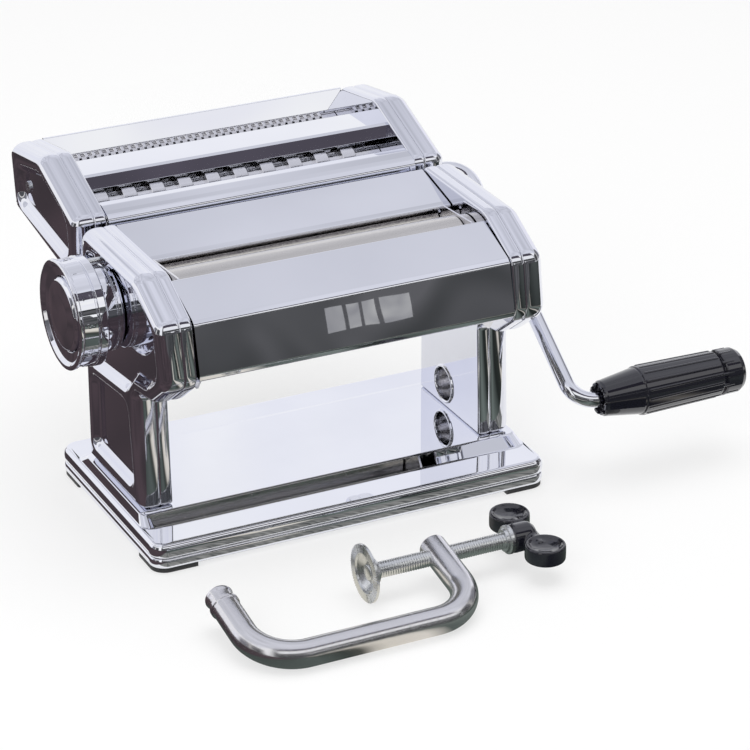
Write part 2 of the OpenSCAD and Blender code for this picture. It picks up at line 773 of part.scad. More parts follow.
// Rivets in the covers' panels
module cutter_rivets() {
    color("silver") for (s = [-1, 1]) on_side(s) rivet_place() {
        rod(x_room - 1, x_panel + 0.2, 0, 0, rivet_r);
        rod(x_room - 1, x_room, 0, 0, rivet_r + 0.8);
        rod(x_panel, x_panel + 1, 0, 0, rivet_r + 1.2);
    }
}

bar_line = [[cutter_front + 20.5, 135], [cutter_front + 19.4, 137.6], [cutter_front + 16, 139.4],
    [cutter_front + 11, 139.6], [cutter_front + 7, 138.4], [cutter_front + 5.6, 138],
    [cutter_front + 3, 137], [cutter_front + 1, 135], [cutter_front + 0.4, 132],
    [cutter_front + 0.4, 106]];

module cutter_front_bar() {
    color([0.86, 0.87, 0.9])
        slab(-x_plate, x_plate) polygon(strip([for (i = [9:-1:0]) bar_line[i]], -skin));
}

middle_line = [[wide_y + 42, 139], [wide_y + 41.4, 142.6], [wide_y + 16, 145.2],
    [wide_y + 14.4, 144.6], [wide_y + 9.6, 138.4]];

module cutter_middle_guide() {
    color([0.84, 0.85, 0.89])
        slab(-x_plate, x_plate) polygon(strip(middle_line, skin));
}

rear_guide_line = [[cutter_back - 7.6, 138], [cutter_back - 6.8, 137.4], [cutter_back - 3.2, 139.6],
    [cutter_back - 5.1, 119], [cutter_back - 4.1, 119], [cutter_back - 1.4, cutter_top - 7.2],
    [cutter_back - 3, cutter_top - 7.2]];

module cutter_rear_guide() {
    color([0.93, 0.93, 0.95])
        slab(-x_plate, x_plate) polygon(rear_guide_line);
}

module cutter_tie_rods() {
    color("gray") for (p = cutter_ties) {
        rod(-x_plate, x_plate, p[0], p[1], 2.6);
        rod(-x_back - 0.1, x_back + 0.1, p[0], p[1], tie_neck);
        for (s = [-1, 1]) on_side(s) rod(x_back, x_back + 2.2, p[0], p[1], 3.2);
    }
}

module cutter_bushes() {
    color([0.9, 0.88, 0.8]) for (s = [-1, 1]) on_side(s) for (i = [0:3]) {
        bore = s > 0 ? cutter_bore(i) : driven_journal_r;
        difference() {
            union() {
                rod(x_plate, x_back, cutter_axes[i][0], cutter_axes[i][1], bore + bush_wall);
                rod(x_back, x_back + 1.4, cutter_axes[i][0], cutter_axes[i][1],
                    bore + bush_wall + bush_lip / 2);
            }
            rod(x_plate - 1, x_back + 2, cutter_axes[i][0], cutter_axes[i][1], bore + fit);
        }
    }
}

// Ring-shaped cutter along X; odd cutters have a groove where even ones have a disc
module cutter(i, outer, root, pitch, disc, count, start) {
    y = cutter_axes[i][0];
    z = cutter_axes[i][1];
    drive = driven_by_crank(i);
    difference() {
        union() {
            translate([0, y, z]) rotate([0, 90, 0]) rotate_extrude() polygon(concat(
                [[0, -x_plate + rest_play], [root, -x_plate + rest_play]],
                [for (k = [0:count - 1]) for (e = [0:3])
                    [e == 0 || e == 3 ? root : outer, start + k * pitch + (e < 2 ? 0 : disc)]],
                [[root, x_plate - rest_play], [0, x_plate - rest_play]]));
            rod(-x_back - 2.4, 0, y, z, driven_journal_r);
            rod(0, drive ? drive_end : cutter_gear_x + cutter_gear_w, y, z, cutter_bore(i));
        }
        if (drive) rod(drive_end - socket_depth, drive_end + 1, y, z, socket_r);
    }
}

wide_count = floor(cut_w / wide_pitch);
fine_count = floor(cut_w / fine_pitch);
wide_start = -wide_count * wide_pitch / 2 + 0.35;
fine_start = -fine_count * fine_pitch / 2 + 0.2;

module wide_drive_cutter() {
    color([0.78, 0.77, 0.75])
        cutter(0, wide_r, wide_root, wide_pitch, wide_disc, wide_count, wide_start);
}

module wide_driven_cutter() {
    color([0.78, 0.77, 0.75]) cutter(1, wide_r, wide_root, wide_pitch, wide_disc, wide_count,
        wide_start + wide_pitch / 2);
}

module fine_drive_cutter() {
    color([0.78, 0.77, 0.75])
        cutter(2, fine_r, fine_root, fine_pitch, fine_disc, fine_count, fine_start);
}

module fine_driven_cutter() {
    color([0.78, 0.77, 0.75]) cutter(3, fine_r, fine_root, fine_pitch, fine_disc, fine_count,
        fine_start + fine_pitch / 2);
}

// Gear on cutter axis i
module cutter_gear(i, teeth, spacing, half, phase) {
    color("dimgray") translate([cutter_gear_x, cutter_axes[i][0], cutter_axes[i][1]])
        gear(teeth, spacing / 2 - 1.5, spacing / 2 + 1.2, half, cutter_bore(i), cutter_gear_w, phase);
}

wide_gear_teeth = 16;
cutter_tooth = [1.05, 0.35];                 // half widths of a tooth at root and tip
fine_gear_teeth = 14;

module wide_drive_gear() {
    cutter_gear(0, wide_gear_teeth, wide_space, cutter_tooth, 0);
}

module wide_driven_gear() {
    cutter_gear(1, wide_gear_teeth, wide_space, cutter_tooth, 180 + 180 / wide_gear_teeth);
}

module fine_drive_gear() {
    cutter_gear(2, fine_gear_teeth, fine_space, cutter_tooth, 0);
}

module fine_driven_gear() {
    cutter_gear(3, fine_gear_teeth, fine_space, cutter_tooth, 180 + 180 / fine_gear_teeth);
}

// Stripping comb under a pair of cutters: a bar with a finger in each groove of cutter i
module comb(i, root, pitch, width, count, start, z_bar) {
    y = cutter_axes[i][0];
    translate([-x_plate, y - 1.5, z_bar]) cube([inner_w, 3, 2.5]);
    for (k = [0:count - 1])
        translate([start + k * pitch, y - 1, z_bar + 2])
            cube([width, 2, cutter_axes[i][1] - root - 0.4 - z_bar - 2]);
}

module wide_comb() {
    color([0.85, 0.85, 0.8])
        comb(0, wide_root, wide_pitch, wide_pitch - wide_disc - 2, wide_count - 1,
            wide_start + wide_disc + 1, wide_z - wide_r - 3.6);
}

module fine_comb() {
    color([0.85, 0.85, 0.8])
        comb(3, fine_root, fine_pitch, fine_pitch - fine_disc - 0.7, fine_count - 1,
            fine_start + fine_pitch / 2 + fine_disc + 0.35, fine_z - fine_r - 3.4);
}

// ---------- rails between the two heads ----------

rail_x = x_plate - 15.5;                     // middle of a rail
rail_z = [96, 124];
rail_skin = 1.2;
rail_slot = 2.2;                             // depth of the slot behind a rail's lips
tongue_y = cutter_front + 0.4;               // face that the tongues are fixed to

// Channels on the back of the main head that the cutter head slides down into
module cutter_rails() {
    color([0.7, 0.7, 0.73]) for (s = [-1, 1]) translate([s * rail_x, leg_back, rail_z[0]])
        difference() {
            translate([-8, 0, 0]) cube([16, cutter_space - 1, rail_z[1] - rail_z[0]]);
            translate([-6, rail_skin, 3]) cube([12, rail_slot, 40]);
            translate([-4, rail_skin, -1]) cube([8, cutter_space, 50]);
        }
}

// Tongues of the cutter head that hang in the channels
module cutter_hooks() {
    y = leg_back + rail_skin + gap;
    color([0.7, 0.7, 0.73]) for (s = [-1, 1])
        translate([s * rail_x, y, rail_z[0] + 3 + gap]) {
            translate([-3.7, 0, 0]) cube([7.4, tongue_y - y, 30]);
            translate([-5.7, 0, 0]) cube([11.4, rail_slot - 2 * gap, 30]);
        }
}

// ---------- crank ----------

// A quarter bend from +X towards the arm, or from the arm back to +X
module quarter_bend(r, wire) {
    rotate_extrude(angle = 90) translate([r, 0]) circle(r = wire);
}

module crank_rod() {
    r = crank_d / 2;
    color([0.75, 0.76, 0.8]) translate([0, crank_y, crank_z]) rotate([arm_slope, 0, 0]) {
        rod(crank_in, crank_x - crank_bend, 0, 0, r);
        translate([crank_x - crank_bend, crank_bend, 0]) rotate([0, 0, -90])
            quarter_bend(crank_bend, r);
        translate([crank_x, crank_bend, 0]) rotate([-90, 0, 0])
            cylinder(h = crank_arm - 2 * crank_bend, r = r);
        translate([grip_x, crank_arm - crank_bend, 0]) rotate([0, 0, 90])
            quarter_bend(crank_bend, r);
        rod(grip_x, grip_x + 2, crank_arm, 0, r);
        rod(grip_x + 2, grip_x + grip_l - cap_l + 2, crank_arm, 0, spindle_r);
        rod(grip_x + grip_l - cap_l + 1, grip_x + grip_l - cap_l + 3, crank_arm, 0, spindle_r + 1.8);
    }
}

module crank_grip() {
    color([0.05, 0.05, 0.06]) translate([grip_x, grip_y, grip_z]) rotate([0, 90, 0])
        rotate_extrude() polygon([
            [spindle_r + fit, 2.6], [6.2, 2.6], [6.2, 0.4], [grip_r - 3.9, 0.4],
            [grip_r - 0.6, grip_nose - 3], [grip_r, grip_nose],
            [grip_r - 0.8, grip_l - cap_l - 0.6], [grip_r - 2.4, grip_l - cap_l],
            [spindle_r + fit, grip_l - cap_l]]);
}

module crank_grip_cap() {
    r = grip_r - 1;
    color([0.05, 0.05, 0.06]) translate([grip_x, grip_y, grip_z]) rotate([0, 90, 0])
        rotate_extrude() polygon([
            [spindle_r + 3, grip_l - cap_l], [r, grip_l - cap_l], [r, grip_l - 2.5],
            [r - 0.8, grip_l - 0.8], [r - 2.5, grip_l], [0, grip_l], [0, grip_l - 4],
            [spindle_r + 3, grip_l - 4]]);
}

// ---------- table clamp ----------

// The clamp's own frame: x across, y along the arms, z normal to them
module in_clamp() {
    translate([clamp_x, clamp_y, clamp_z]) rotate([clamp_tilt, 0, 0]) children();
}

module clamp_frame() {
    half = clamp_w / 2;
    color([0.78, 0.78, 0.82]) difference() {
        in_clamp() {
            rod(-half + clamp_bend, half - clamp_bend, 0, 0, clamp_r);
            for (s = [-1, 1]) on_side(s) {
                translate([half - clamp_bend, clamp_bend, 0]) rotate([0, 0, -90])
                    quarter_bend(clamp_bend, clamp_r);
                translate([half, clamp_bend, 0]) rotate([-90, 0, 0])
                    cylinder(h = clamp_arm - clamp_bend, r = clamp_r);
            }
            // Collar near the tip that goes into the leg
            translate([-half, clamp_arm - 9, 0]) rotate([-90, 0, 0])
                cylinder(h = 2, r = clamp_r + 0.8);
        }
        rod(arm_x - clamp_r - 1, arm_x + clamp_r + 1, screw_y, screw_z, screw_r + fit);
    }
}

module clamp_screw() {
    color([0.75, 0.76, 0.8]) {
        rod(pad_x + pad_t + 0.3, wing_x + 3, screw_y, screw_z, screw_r);
        rod(pad_x + 2.4, pad_x + pad_t + 1, screw_y, screw_z, screw_r - 1.5);
        rod(pad_x + 1.6, pad_x + 3, screw_y, screw_z, screw_r);
    }
}

// Metal collar that stops the wing
module clamp_collar() {
    color([0.72, 0.73, 0.76]) difference() {
        rod(wing_x, wing_x + 4, screw_y, screw_z, wing_hub_r - 0.4);
        rod(wing_x - 1, wing_x + 3, screw_y, screw_z, screw_r);
    }
}

// A wing lobe with dished faces, standing beside the hub
module lobe(y) {
    translate([wing_x + 13, screw_y + y, screw_z]) difference() {
        cylinder(h = 9, r = wing_r, center = true);
        for (u = [-1, 1]) translate([0, 0, u * (2.6 + 22)]) sphere(r = 22.6, $fn = 64);
    }
}

module clamp_wing() {
    color([0.05, 0.05, 0.06]) {
        rod(wing_x + 4, wing_x + 16, screw_y, screw_z, wing_hub_r);
        for (s = [-1, 1]) lobe(s * wing_span);
        translate([wing_x + 9, screw_y - wing_span + 6, screw_z - 3.5])
            cube([8, 2 * wing_span - 12, 7]);
    }
}

// Swivel pad, held on the screw's riveted end
module clamp_pad() {
    color([0.7, 0.71, 0.74]) difference() {
        translate([0, screw_y, screw_z]) rotate([0, 90, 0]) rotate_extrude() polygon([
            [0, pad_x + 3.3], [5, pad_x + 3.3], [7.6, pad_x + 1.2], [8.4, pad_x + 1.2],
            [9.2, pad_x], [pad_r, pad_x], [pad_r, pad_x + 1.6], [9, pad_x + 2.6],
            [6.2, pad_x + pad_t], [0, pad_x + pad_t]]);
        rod(pad_x, pad_x + pad_t + 1, screw_y, screw_z, screw_r - 1.5 + fit);
    }
}

base_plate();
base_feet();
leg_screws();
left_inner_plate();
right_inner_plate();
left_outer_cover();
right_outer_cover();
front_cover();
rear_cover();
pasta_guides();
head_tie_rods();
roller_bushes();
roller_scrapers();
carrier_guides();
cutter_rails();
knob_index_pin();
left_carrier();
right_carrier();
front_roller();
front_roller_gear();
rear_roller();
rear_roller_gear();
adjuster_shaft();
adjuster_cam();
adjuster_knob();
knob_cap();
cutter_left_plate();
cutter_right_plate();
cutter_left_cover();
cutter_right_cover();
cutter_front_bar();
cutter_middle_guide();
cutter_rear_guide();
cutter_tie_rods();
cutter_bushes();
cutter_rivets();
cutter_hooks();
wide_comb();
fine_comb();
wide_drive_cutter();
wide_driven_cutter();
wide_drive_gear();
wide_driven_gear();
fine_drive_cutter();
fine_driven_cutter();
fine_drive_gear();
fine_driven_gear();
crank_rod();
crank_grip();
crank_grip_cap();
clamp_frame();
clamp_screw();
clamp_collar();
clamp_wing();
clamp_pad();
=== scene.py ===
"""Looks of a hand-cranked dough sheeting machine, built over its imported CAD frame.

Every sub-assembly is a small class whose fields are its sizes in millimetres.
The classes make closed, smooth-shaded meshes, give them procedural finishes,
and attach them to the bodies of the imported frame. Lengths in this script are
millimetres in the frame's own axes, and MeshBuilder turns them into metres.
"""

from __future__ import annotations

import json
import logging
import math
from dataclasses import dataclass, field
from enum import Enum
from typing import Callable, Iterable, Sequence

import bmesh
import bpy
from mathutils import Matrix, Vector
from mathutils.geometry import delaunay_2d_cdt

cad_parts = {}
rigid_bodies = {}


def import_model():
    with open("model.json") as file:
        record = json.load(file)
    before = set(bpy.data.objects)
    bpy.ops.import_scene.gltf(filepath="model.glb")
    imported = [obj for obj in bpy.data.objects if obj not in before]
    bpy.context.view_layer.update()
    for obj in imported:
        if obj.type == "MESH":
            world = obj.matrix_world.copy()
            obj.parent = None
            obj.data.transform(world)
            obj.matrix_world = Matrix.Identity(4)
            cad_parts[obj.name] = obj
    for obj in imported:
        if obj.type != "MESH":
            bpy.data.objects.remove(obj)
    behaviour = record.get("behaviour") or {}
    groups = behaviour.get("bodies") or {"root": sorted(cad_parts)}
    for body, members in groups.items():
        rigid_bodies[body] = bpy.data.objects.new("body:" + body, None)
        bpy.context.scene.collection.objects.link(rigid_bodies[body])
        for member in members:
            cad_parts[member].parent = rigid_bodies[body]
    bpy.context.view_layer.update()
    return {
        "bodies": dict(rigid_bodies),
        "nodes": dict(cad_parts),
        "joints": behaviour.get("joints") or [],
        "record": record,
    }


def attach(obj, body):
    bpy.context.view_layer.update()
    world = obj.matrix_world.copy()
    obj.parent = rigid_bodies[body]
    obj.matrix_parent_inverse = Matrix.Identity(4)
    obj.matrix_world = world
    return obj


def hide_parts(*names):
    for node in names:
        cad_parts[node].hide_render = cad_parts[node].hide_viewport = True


MM = 0.001
PER_METRE = 1000.0
AXIS = 0.01  # radius of a ring that stands for a point on the axis
SHARP = 32.0  # edges that bend by more degrees than this stay sharp
FOLD = 40.0  # the same for folded sheet and moulded pieces
OPEN = (False, False)  # a loft without end faces
log = logging.getLogger("scene")

Point2 = tuple[float, float]
Point3 = tuple[float, float, float]
Corner = tuple[float, float, float]
Piece = bpy.types.Object
Material = bpy.types.Material
Socket = bpy.types.NodeSocket


SMALLEST_ROUND = 0.35
STRAIGHT = math.pi / 2 - 0.01  # half the angle of a corner that needs no rounding
SIDE_SHARE = 0.49  # how much of a side one bend may take


# ---------------------------------------------------------------- outlines


def rounded(corners: Sequence[Corner], steps: int = 8) -> list[Point2]:
    """Rounds the corners of a closed outline.

    Args:
        corners: Corners as (y, z, radius), in order.
        steps: Straight pieces in each rounded corner.

    Returns:
        The points of the outline, steps + 1 for each corner.
    """
    points: list[Point2] = []
    count = len(corners)
    for i, (y, z, radius) in enumerate(corners):
        here = Vector((y, z))
        before = (Vector(corners[i - 1][:2]) - here).normalized()
        after = (Vector(corners[(i + 1) % count][:2]) - here).normalized()
        half = math.acos(max(-1.0, min(1.0, before.dot(after)))) / 2
        centre = here + (before + after).normalized() * radius / math.sin(half)
        start = here + before * radius / math.tan(half) - centre
        end = here + after * radius / math.tan(half) - centre
        angle = math.atan2(start.y, start.x)
        swing = math.atan2(end.y, end.x) - angle
        swing = (swing + 3 * math.pi) % (2 * math.pi) - math.pi
        for k in range(steps + 1):
            a = angle + swing * k / steps
            points.append((centre.x + radius * math.cos(a), centre.y + radius * math.sin(a)))
    return points


def inset(corners: Sequence[Corner], distance: float) -> list[Corner]:
    """Moves every edge of an anticlockwise outline inwards.

    Args:
        corners: Corners as (y, z, radius).
        distance: How far the edges move, negative for outwards.

    Returns:
        The corners of the moved outline.
    """
    moved: list[Corner] = []
    count = len(corners)
    for i, (y, z, radius) in enumerate(corners):
        here = Vector((y, z))
        into = (here - Vector(corners[i - 1][:2])).normalized()
        out = (Vector(corners[(i + 1) % count][:2]) - here).normalized()
        n1, n2 = Vector((-into.y, into.x)), Vector((-out.y, out.x))
        shift = (n1 + n2) * distance / (1 + n1.dot(n2))
        bend = into.x * out.y - into.y * out.x
        size = max(radius + (-distance if bend > 0 else distance), SMALLEST_ROUND)
        moved.append((y + shift.x, z + shift.y, size))
    return moved


def soft_line(corners: Sequence[Corner], steps: int = 5) -> list[Point2]:
    """Rounds the inner corners of an open line.

    Args:
        corners: Points as (u, v, radius); the first and last stay sharp.
        steps: Straight pieces in each rounded corner.

    Returns:
        The points of the line.
    """
    points: list[Point2] = [corners[0][:2]]
    for i in range(1, len(corners) - 1):
        here = Vector(corners[i][:2])
        before = Vector(corners[i - 1][:2]) - here
        after = Vector(corners[i + 1][:2]) - here
        radius = corners[i][2]
        half = math.acos(max(-1.0, min(1.0, before.normalized().dot(after.normalized())))) / 2
        if radius <= 0 or half > STRAIGHT:
            points.append((here.x, here.y))
            continue
        reach = min(radius / math.tan(half), SIDE_SHARE * min(before.length, after.length))
        a, b = here + before.normalized() * reach, here + after.normalized() * reach
        for k in range(steps + 1):
            t = k / steps
            p = a * (1 - t) ** 2 + here * 2 * t * (1 - t) + b * t * t
            points.append((p.x, p.y))
    points.append(corners[-1][:2])
    return points


def beside(line: Sequence[Point2], distance: float) -> list[Point2]:
    """Moves an open line to its left.

    Args:
        line: The points of the line.
        distance: How far it moves, negative for the right.

    Returns:
        The moved points, in the same order.
    """
    moved: list[Point2] = []
    for i, p in enumerate(line):
        into = Vector(p) - Vector(line[i - 1]) if i else Vector(line[1]) - Vector(p)
        out = Vector(line[i + 1]) - Vector(p) if i < len(line) - 1 else into
        into, out = into.normalized(), out.normalized()
        n1, n2 = Vector((-into.y, into.x)), Vector((-out.y, out.x))
        shift = (n1 + n2) * distance / (1 + n1.dot(n2))
        moved.append((p[0] + shift.x, p[1] + shift.y))
    return moved


def folded(corners: Sequence[Corner], thickness: float, steps: int = 5) -> list[Point2]:
    """Closed section of a bent sheet.

    Args:
        corners: The line of one face as (y, z, radius).
        thickness: Sheet thickness, to the left of the line.
        steps: Straight pieces in each bend.

    Returns:
        The points of the section.
    """
    line = soft_line(corners, steps)
    other = beside(line, thickness)
    return line + other[::-1]


def circle(y: float, z: float, radius: float, steps: int = 48) -> list[Point2]:
    """Points of a circle, anticlockwise.

    Args:
        y: Centre, first coordinate.
        z: Centre, second coordinate.
        radius: Radius.
        steps: Number of points.

    Returns:
        The points.
    """
    turn = [2 * math.pi * k / steps for k in range(steps)]
    return [(y + radius * math.cos(a), z + radius * math.sin(a)) for a in turn]


def arc(centre: Point2, radius: float, start: float, swing: float, steps: int) -> list[Point2]:
    """Points of an arc, with both its ends.

    Args:
        centre: Its centre.
        radius: Its radius.
        start: Angle of its first point, in degrees.
        swing: Angle from its first to its last point, in degrees.
        steps: Number of straight pieces.

    Returns:
        The points.
    """
    turn = [math.radians(start + swing * k / steps) for k in range(steps + 1)]
    return [(centre[0] + radius * math.cos(a), centre[1] + radius * math.sin(a)) for a in turn]


def inside(point: Point2, outline: Sequence[Point2]) -> bool:
    """Says if a point lies inside a closed outline.

    Args:
        point: The point.
        outline: The outline's points.

    Returns:
        True if it lies inside.
    """
    hit = False
    x, y = point
    for (x0, y0), (x1, y1) in zip(outline, list(outline[1:]) + [outline[0]]):
        if (y0 > y) != (y1 > y) and x < (x1 - x0) * (y - y0) / (y1 - y0) + x0:
            hit = not hit
    return hit


# ---------------------------------------------------------------- meshes


class MeshBuilder:
    """Collects vertices and faces in millimetres and makes one object of them."""

    def __init__(self) -> None:
        """Starts an empty mesh."""
        self.verts: list[Point3] = []
        self.faces: list[Sequence[int]] = []

    def ring(self, points: Iterable[Point3]) -> list[int]:
        """Adds points.

        Args:
            points: Points in millimetres.

        Returns:
            Their numbers.
        """
        first = len(self.verts)
        self.verts.extend(points)
        return list(range(first, len(self.verts)))

    def bridge(self, a: Sequence[int], b: Sequence[int]) -> None:
        """Joins two rings of equal length with quads.

        Args:
            a: The first ring.
            b: The second ring.
        """
        n = len(a)
        for i in range(n):
            j = (i + 1) % n
            self.faces.append((a[i], a[j], b[j], b[i]))

    def loft(
        self, rings: Sequence[Iterable[Point3]], caps: tuple[bool, bool] = (True, True)
    ) -> None:
        """Skins a row of rings.

        Args:
            rings: Rings of equal length, in order.
            caps: Whether the first and the last ring are closed with a face.
        """
        made = [self.ring(r) for r in rings]
        for a, b in zip(made, made[1:]):
            self.bridge(a, b)
        if caps[0]:
            self.faces.append(tuple(made[0][::-1]))
        if caps[1]:
            self.faces.append(tuple(made[-1]))

    def region(
        self,
        outer: Sequence[Point2],
        holes: Sequence[Sequence[Point2]],
        place: Callable[[Point2], Point3],
    ) -> None:
        """Fills a flat region that may have holes.

        Args:
            outer: Its outline.
            holes: Outlines of its holes.
            place: Gives the place in space of a point of the plane.
        """
        loops = [list(outer)] + [list(h) for h in holes]
        coords = [Vector(p) for loop in loops for p in loop]
        edges: list[tuple[int, int]] = []
        first = 0
        for loop in loops:
            n = len(loop)
            edges.extend((first + i, first + (i + 1) % n) for i in range(n))
            first += n
        points, _, faces, *_ = delaunay_2d_cdt(coords, edges, [], 0, 1e-6)
        numbers = self.ring(place((p.x, p.y)) for p in points)
        for f in faces:
            mid = (sum(points[i].x for i in f) / len(f), sum(points[i].y for i in f) / len(f))
            if inside(mid, loops[0]) and not any(inside(mid, h) for h in loops[1:]):
                self.faces.append(tuple(numbers[i] for i in f))

    def make(
        self,
        name: str,
        finish: Material,
        sharp: float = SHARP,
        weld: float = 0.004,
    ) -> Piece:
        """Makes the object.

        Args:
            name: Name of the piece.
            finish: Its material.
            sharp: Edges that bend by more than this many degrees stay sharp.
            weld: Points closer than this, in millimetres, become one.

        Returns:
            The object, linked to the scene, with its place in its mesh.
        """
        mesh = bpy.data.meshes.new(name)
        mesh.from_pydata([Vector(v) * MM for v in self.verts], [], [tuple(f) for f in self.faces])
        bm = bmesh.new()
        bm.from_mesh(mesh)
        bmesh.ops.remove_doubles(bm, verts=bm.verts, dist=weld * MM)
        bmesh.ops.recalc_face_normals(bm, faces=bm.faces)
        bm.to_mesh(mesh)
        bm.free()
        mesh.shade_smooth()
        mesh.set_sharp_from_angle(angle=math.radians(sharp))
        mesh.materials.append(finish)
        obj = bpy.data.objects.new(name, mesh)
        bpy.context.scene.collection.objects.link(obj)
        return obj


def bake(obj: Piece) -> Piece:
    """Replaces an object's mesh by what its modifiers make of it.

    Args:
        obj: The object.

    Returns:
        The same object, without modifiers.
    """
    graph = bpy.context.evaluated_depsgraph_get()
    mesh = bpy.data.meshes.new_from_object(
        obj.evaluated_get(graph), preserve_all_data_layers=True, depsgraph=graph
    )
    old = obj.data
    obj.modifiers.clear()
    obj.data = mesh
    mesh.name = obj.name
    bpy.data.meshes.remove(old)
    return obj


def join(name: str, parts: Sequence[Piece]) -> Piece:
    """Joins objects of one finish into one.

    Args:
        name: Name of the result.
        parts: The objects, the first of which stays.

    Returns:
        The joined object.
    """
    keep = parts[0]
    bm = bmesh.new()
    for part in parts:
        bm.from_mesh(part.data)
    for face in bm.faces:
        face.material_index = 0
    bm.to_mesh(keep.data)
    bm.free()
    for part in parts[1:]:
        data = part.data
        bpy.data.objects.remove(part)
        bpy.data.meshes.remove(data)
    keep.name = name
    keep.data.name = name
    return keep


def slab(
    name: str,
    outline: Sequence[Point2],
    x0: float,
    x1: float,
    finish: Material,
    sharp: float = SHARP,
) -> Piece:
    """A section in the side plane, extruded across the machine.

    Args:
        name: Name of the piece.
        outline: Section as (y, z) points.
        x0: Left end.
        x1: Right end.
        finish: Material.
        sharp: Angle of sharp edges, in degrees.

    Returns:
        The object.
    """
    b = MeshBuilder()
    b.loft([[(x, y, z) for y, z in outline] for x in (x0, x1)])
    return b.make(name, finish, sharp)


def turned(
    profile: Sequence[Point2], centre: Point2, steps: int, side: int = 1
) -> list[list[Point3]]:
    """Rings of a turned shape on an axis along X.

    Args:
        profile: Points as (x, radius), from end to end; radius 0 closes an end.
        centre: Axis as (y, z).
        steps: Points round the axis.
        side: 1, or -1 to mirror the shape to the left.

    Returns:
        One ring for each point of the profile.
    """
    return [
        [(side * x, y, z) for y, z in circle(centre[0], centre[1], max(r, AXIS), steps)]
        for x, r in profile
    ]


def lathe(
    name: str,
    profile: Sequence[Point2],
    centre: Point2,
    finish: Material,
    steps: int = 72,
    sharp: float = SHARP,
) -> Piece:
    """A turned piece on an axis along X.

    Args:
        name: Name of the piece.
        profile: Points as (x, radius), from end to end; radius 0 closes an end.
        centre: Axis as (y, z).
        finish: Material.
        steps: Points round the axis.
        sharp: Angle of sharp edges, in degrees.

    Returns:
        The object.
    """
    b = MeshBuilder()
    b.loft(turned(profile, centre, steps))
    return b.make(name, finish, sharp, weld=0.003)


def tube(
    name: str,
    path: Sequence[Point3],
    radii: Sequence[float],
    finish: Material,
    steps: int = 36,
    sharp: float = FOLD,
) -> Piece:
    """A round rod that follows a path.

    Args:
        name: Name of the piece.
        path: Points of its centre line.
        radii: Radius at each point.
        finish: Material.
        steps: Points round the rod.
        sharp: Angle of sharp edges, in degrees.

    Returns:
        The object.
    """
    points = [Vector(p) for p in path]
    rings = []
    turns = circle(0.0, 0.0, 1.0, steps)
    side = None
    for i, p in enumerate(points):
        ahead = points[min(i + 1, len(points) - 1)] - points[max(i - 1, 0)]
        ahead.normalize()
        if side is None:
            side = ahead.orthogonal().normalized()
        side = (side - ahead * side.dot(ahead)).normalized()
        other = ahead.cross(side)
        rings.append([tuple(p + (side * u + other * v) * radii[i]) for u, v in turns])
    b = MeshBuilder()
    b.loft(rings)
    return b.make(name, finish, sharp)


# ---------------------------------------------------------------- node trees


class Nodes:
    """A node tree that is built by short calls."""

    def __init__(self, tree: bpy.types.NodeTree) -> None:
        """Keeps the tree that the calls add to."""
        self.tree = tree

    @classmethod
    def of(cls, owner: Material | bpy.types.World) -> Nodes:
        """Starts the tree of a material or a world.

        Args:
            owner: The material or world.

        Returns:
            Its empty tree.
        """
        owner.use_nodes = True
        owner.node_tree.nodes.clear()
        return cls(owner.node_tree)

    def add(
        self, kind: str, inputs: dict[str | int, object] | None = None, **settings: object
    ) -> bpy.types.Node:
        """Adds a node.

        Args:
            kind: Its type.
            inputs: A value for each socket, or another node's output to link it to.
            settings: Its properties, which are set first.

        Returns:
            The node.
        """
        node = self.tree.nodes.new(kind)
        for key, value in settings.items():
            setattr(node, key, value)
        for key, value in (inputs or {}).items():
            if isinstance(value, Socket):
                self.tree.links.new(value, node.inputs[key])
            else:
                node.inputs[key].default_value = value
        return node

    def places(self) -> Socket:
        """Gives the piece's own coordinates, in metres."""
        return self.add("ShaderNodeTexCoord").outputs["Object"]

    def stretched(self, source: Socket, scale: Point3) -> Socket:
        """Gives coordinates that are scaled along each axis."""
        inputs = {"Vector": source, "Scale": scale}
        return self.add("ShaderNodeMapping", inputs).outputs["Vector"]

    def noise(
        self, source: Socket, size: float, detail: float, distortion: float = 0.0
    ) -> Socket:
        """Adds a noise texture.

        Args:
            source: Coordinates.
            size: Size of its marks, in millimetres.
            detail: Detail of the noise.
            distortion: How far the marks are drawn out of shape.

        Returns:
            The noise, from 0 to 1.
        """
        inputs = {
            "Vector": source,
            "Scale": PER_METRE / size,
            "Detail": detail,
            "Distortion": distortion,
        }
        return self.add("ShaderNodeTexNoise", inputs).outputs["Fac"]

    def bump(self, height: Socket, depth: float, before: Socket | None) -> Socket:
        """Adds a bump of a given depth.

        Args:
            height: The height, from 0 to 1.
            depth: Depth in millimetres.
            before: A normal that this one builds on.

        Returns:
            The normal.
        """
        inputs = {"Height": height, "Strength": 1.0, "Distance": depth * MM}
        if before is not None:
            inputs["Normal"] = before
        return self.add("ShaderNodeBump", inputs).outputs["Normal"]

    def ramp(self, factor: Socket, stops: Sequence[tuple[float, Point3]]) -> Socket:
        """Adds a colour ramp.

        Args:
            factor: What goes in.
            stops: Position and colour of each stop, in order.

        Returns:
            The colour.
        """
        node = self.add("ShaderNodeValToRGB", {"Fac": factor})
        elements = node.color_ramp.elements
        while len(elements) < len(stops):
            elements.new(0.5)
        for element, (position, colour) in zip(elements, stops):
            element.position = position
            element.color = (*colour, 1.0)
        return node.outputs["Color"]

    def glow(self, colour: Socket | tuple[float, ...]) -> Socket:
        """Gives a glow of strength 1 in a colour."""
        return self.add("ShaderNodeEmission", {"Color": colour}).outputs["Emission"]

    def surface(self, shader: Socket) -> None:
        """Ends a material's tree with what its surface shows."""
        self.add("ShaderNodeOutputMaterial", {"Surface": shader})


# ---------------------------------------------------------------- finishes


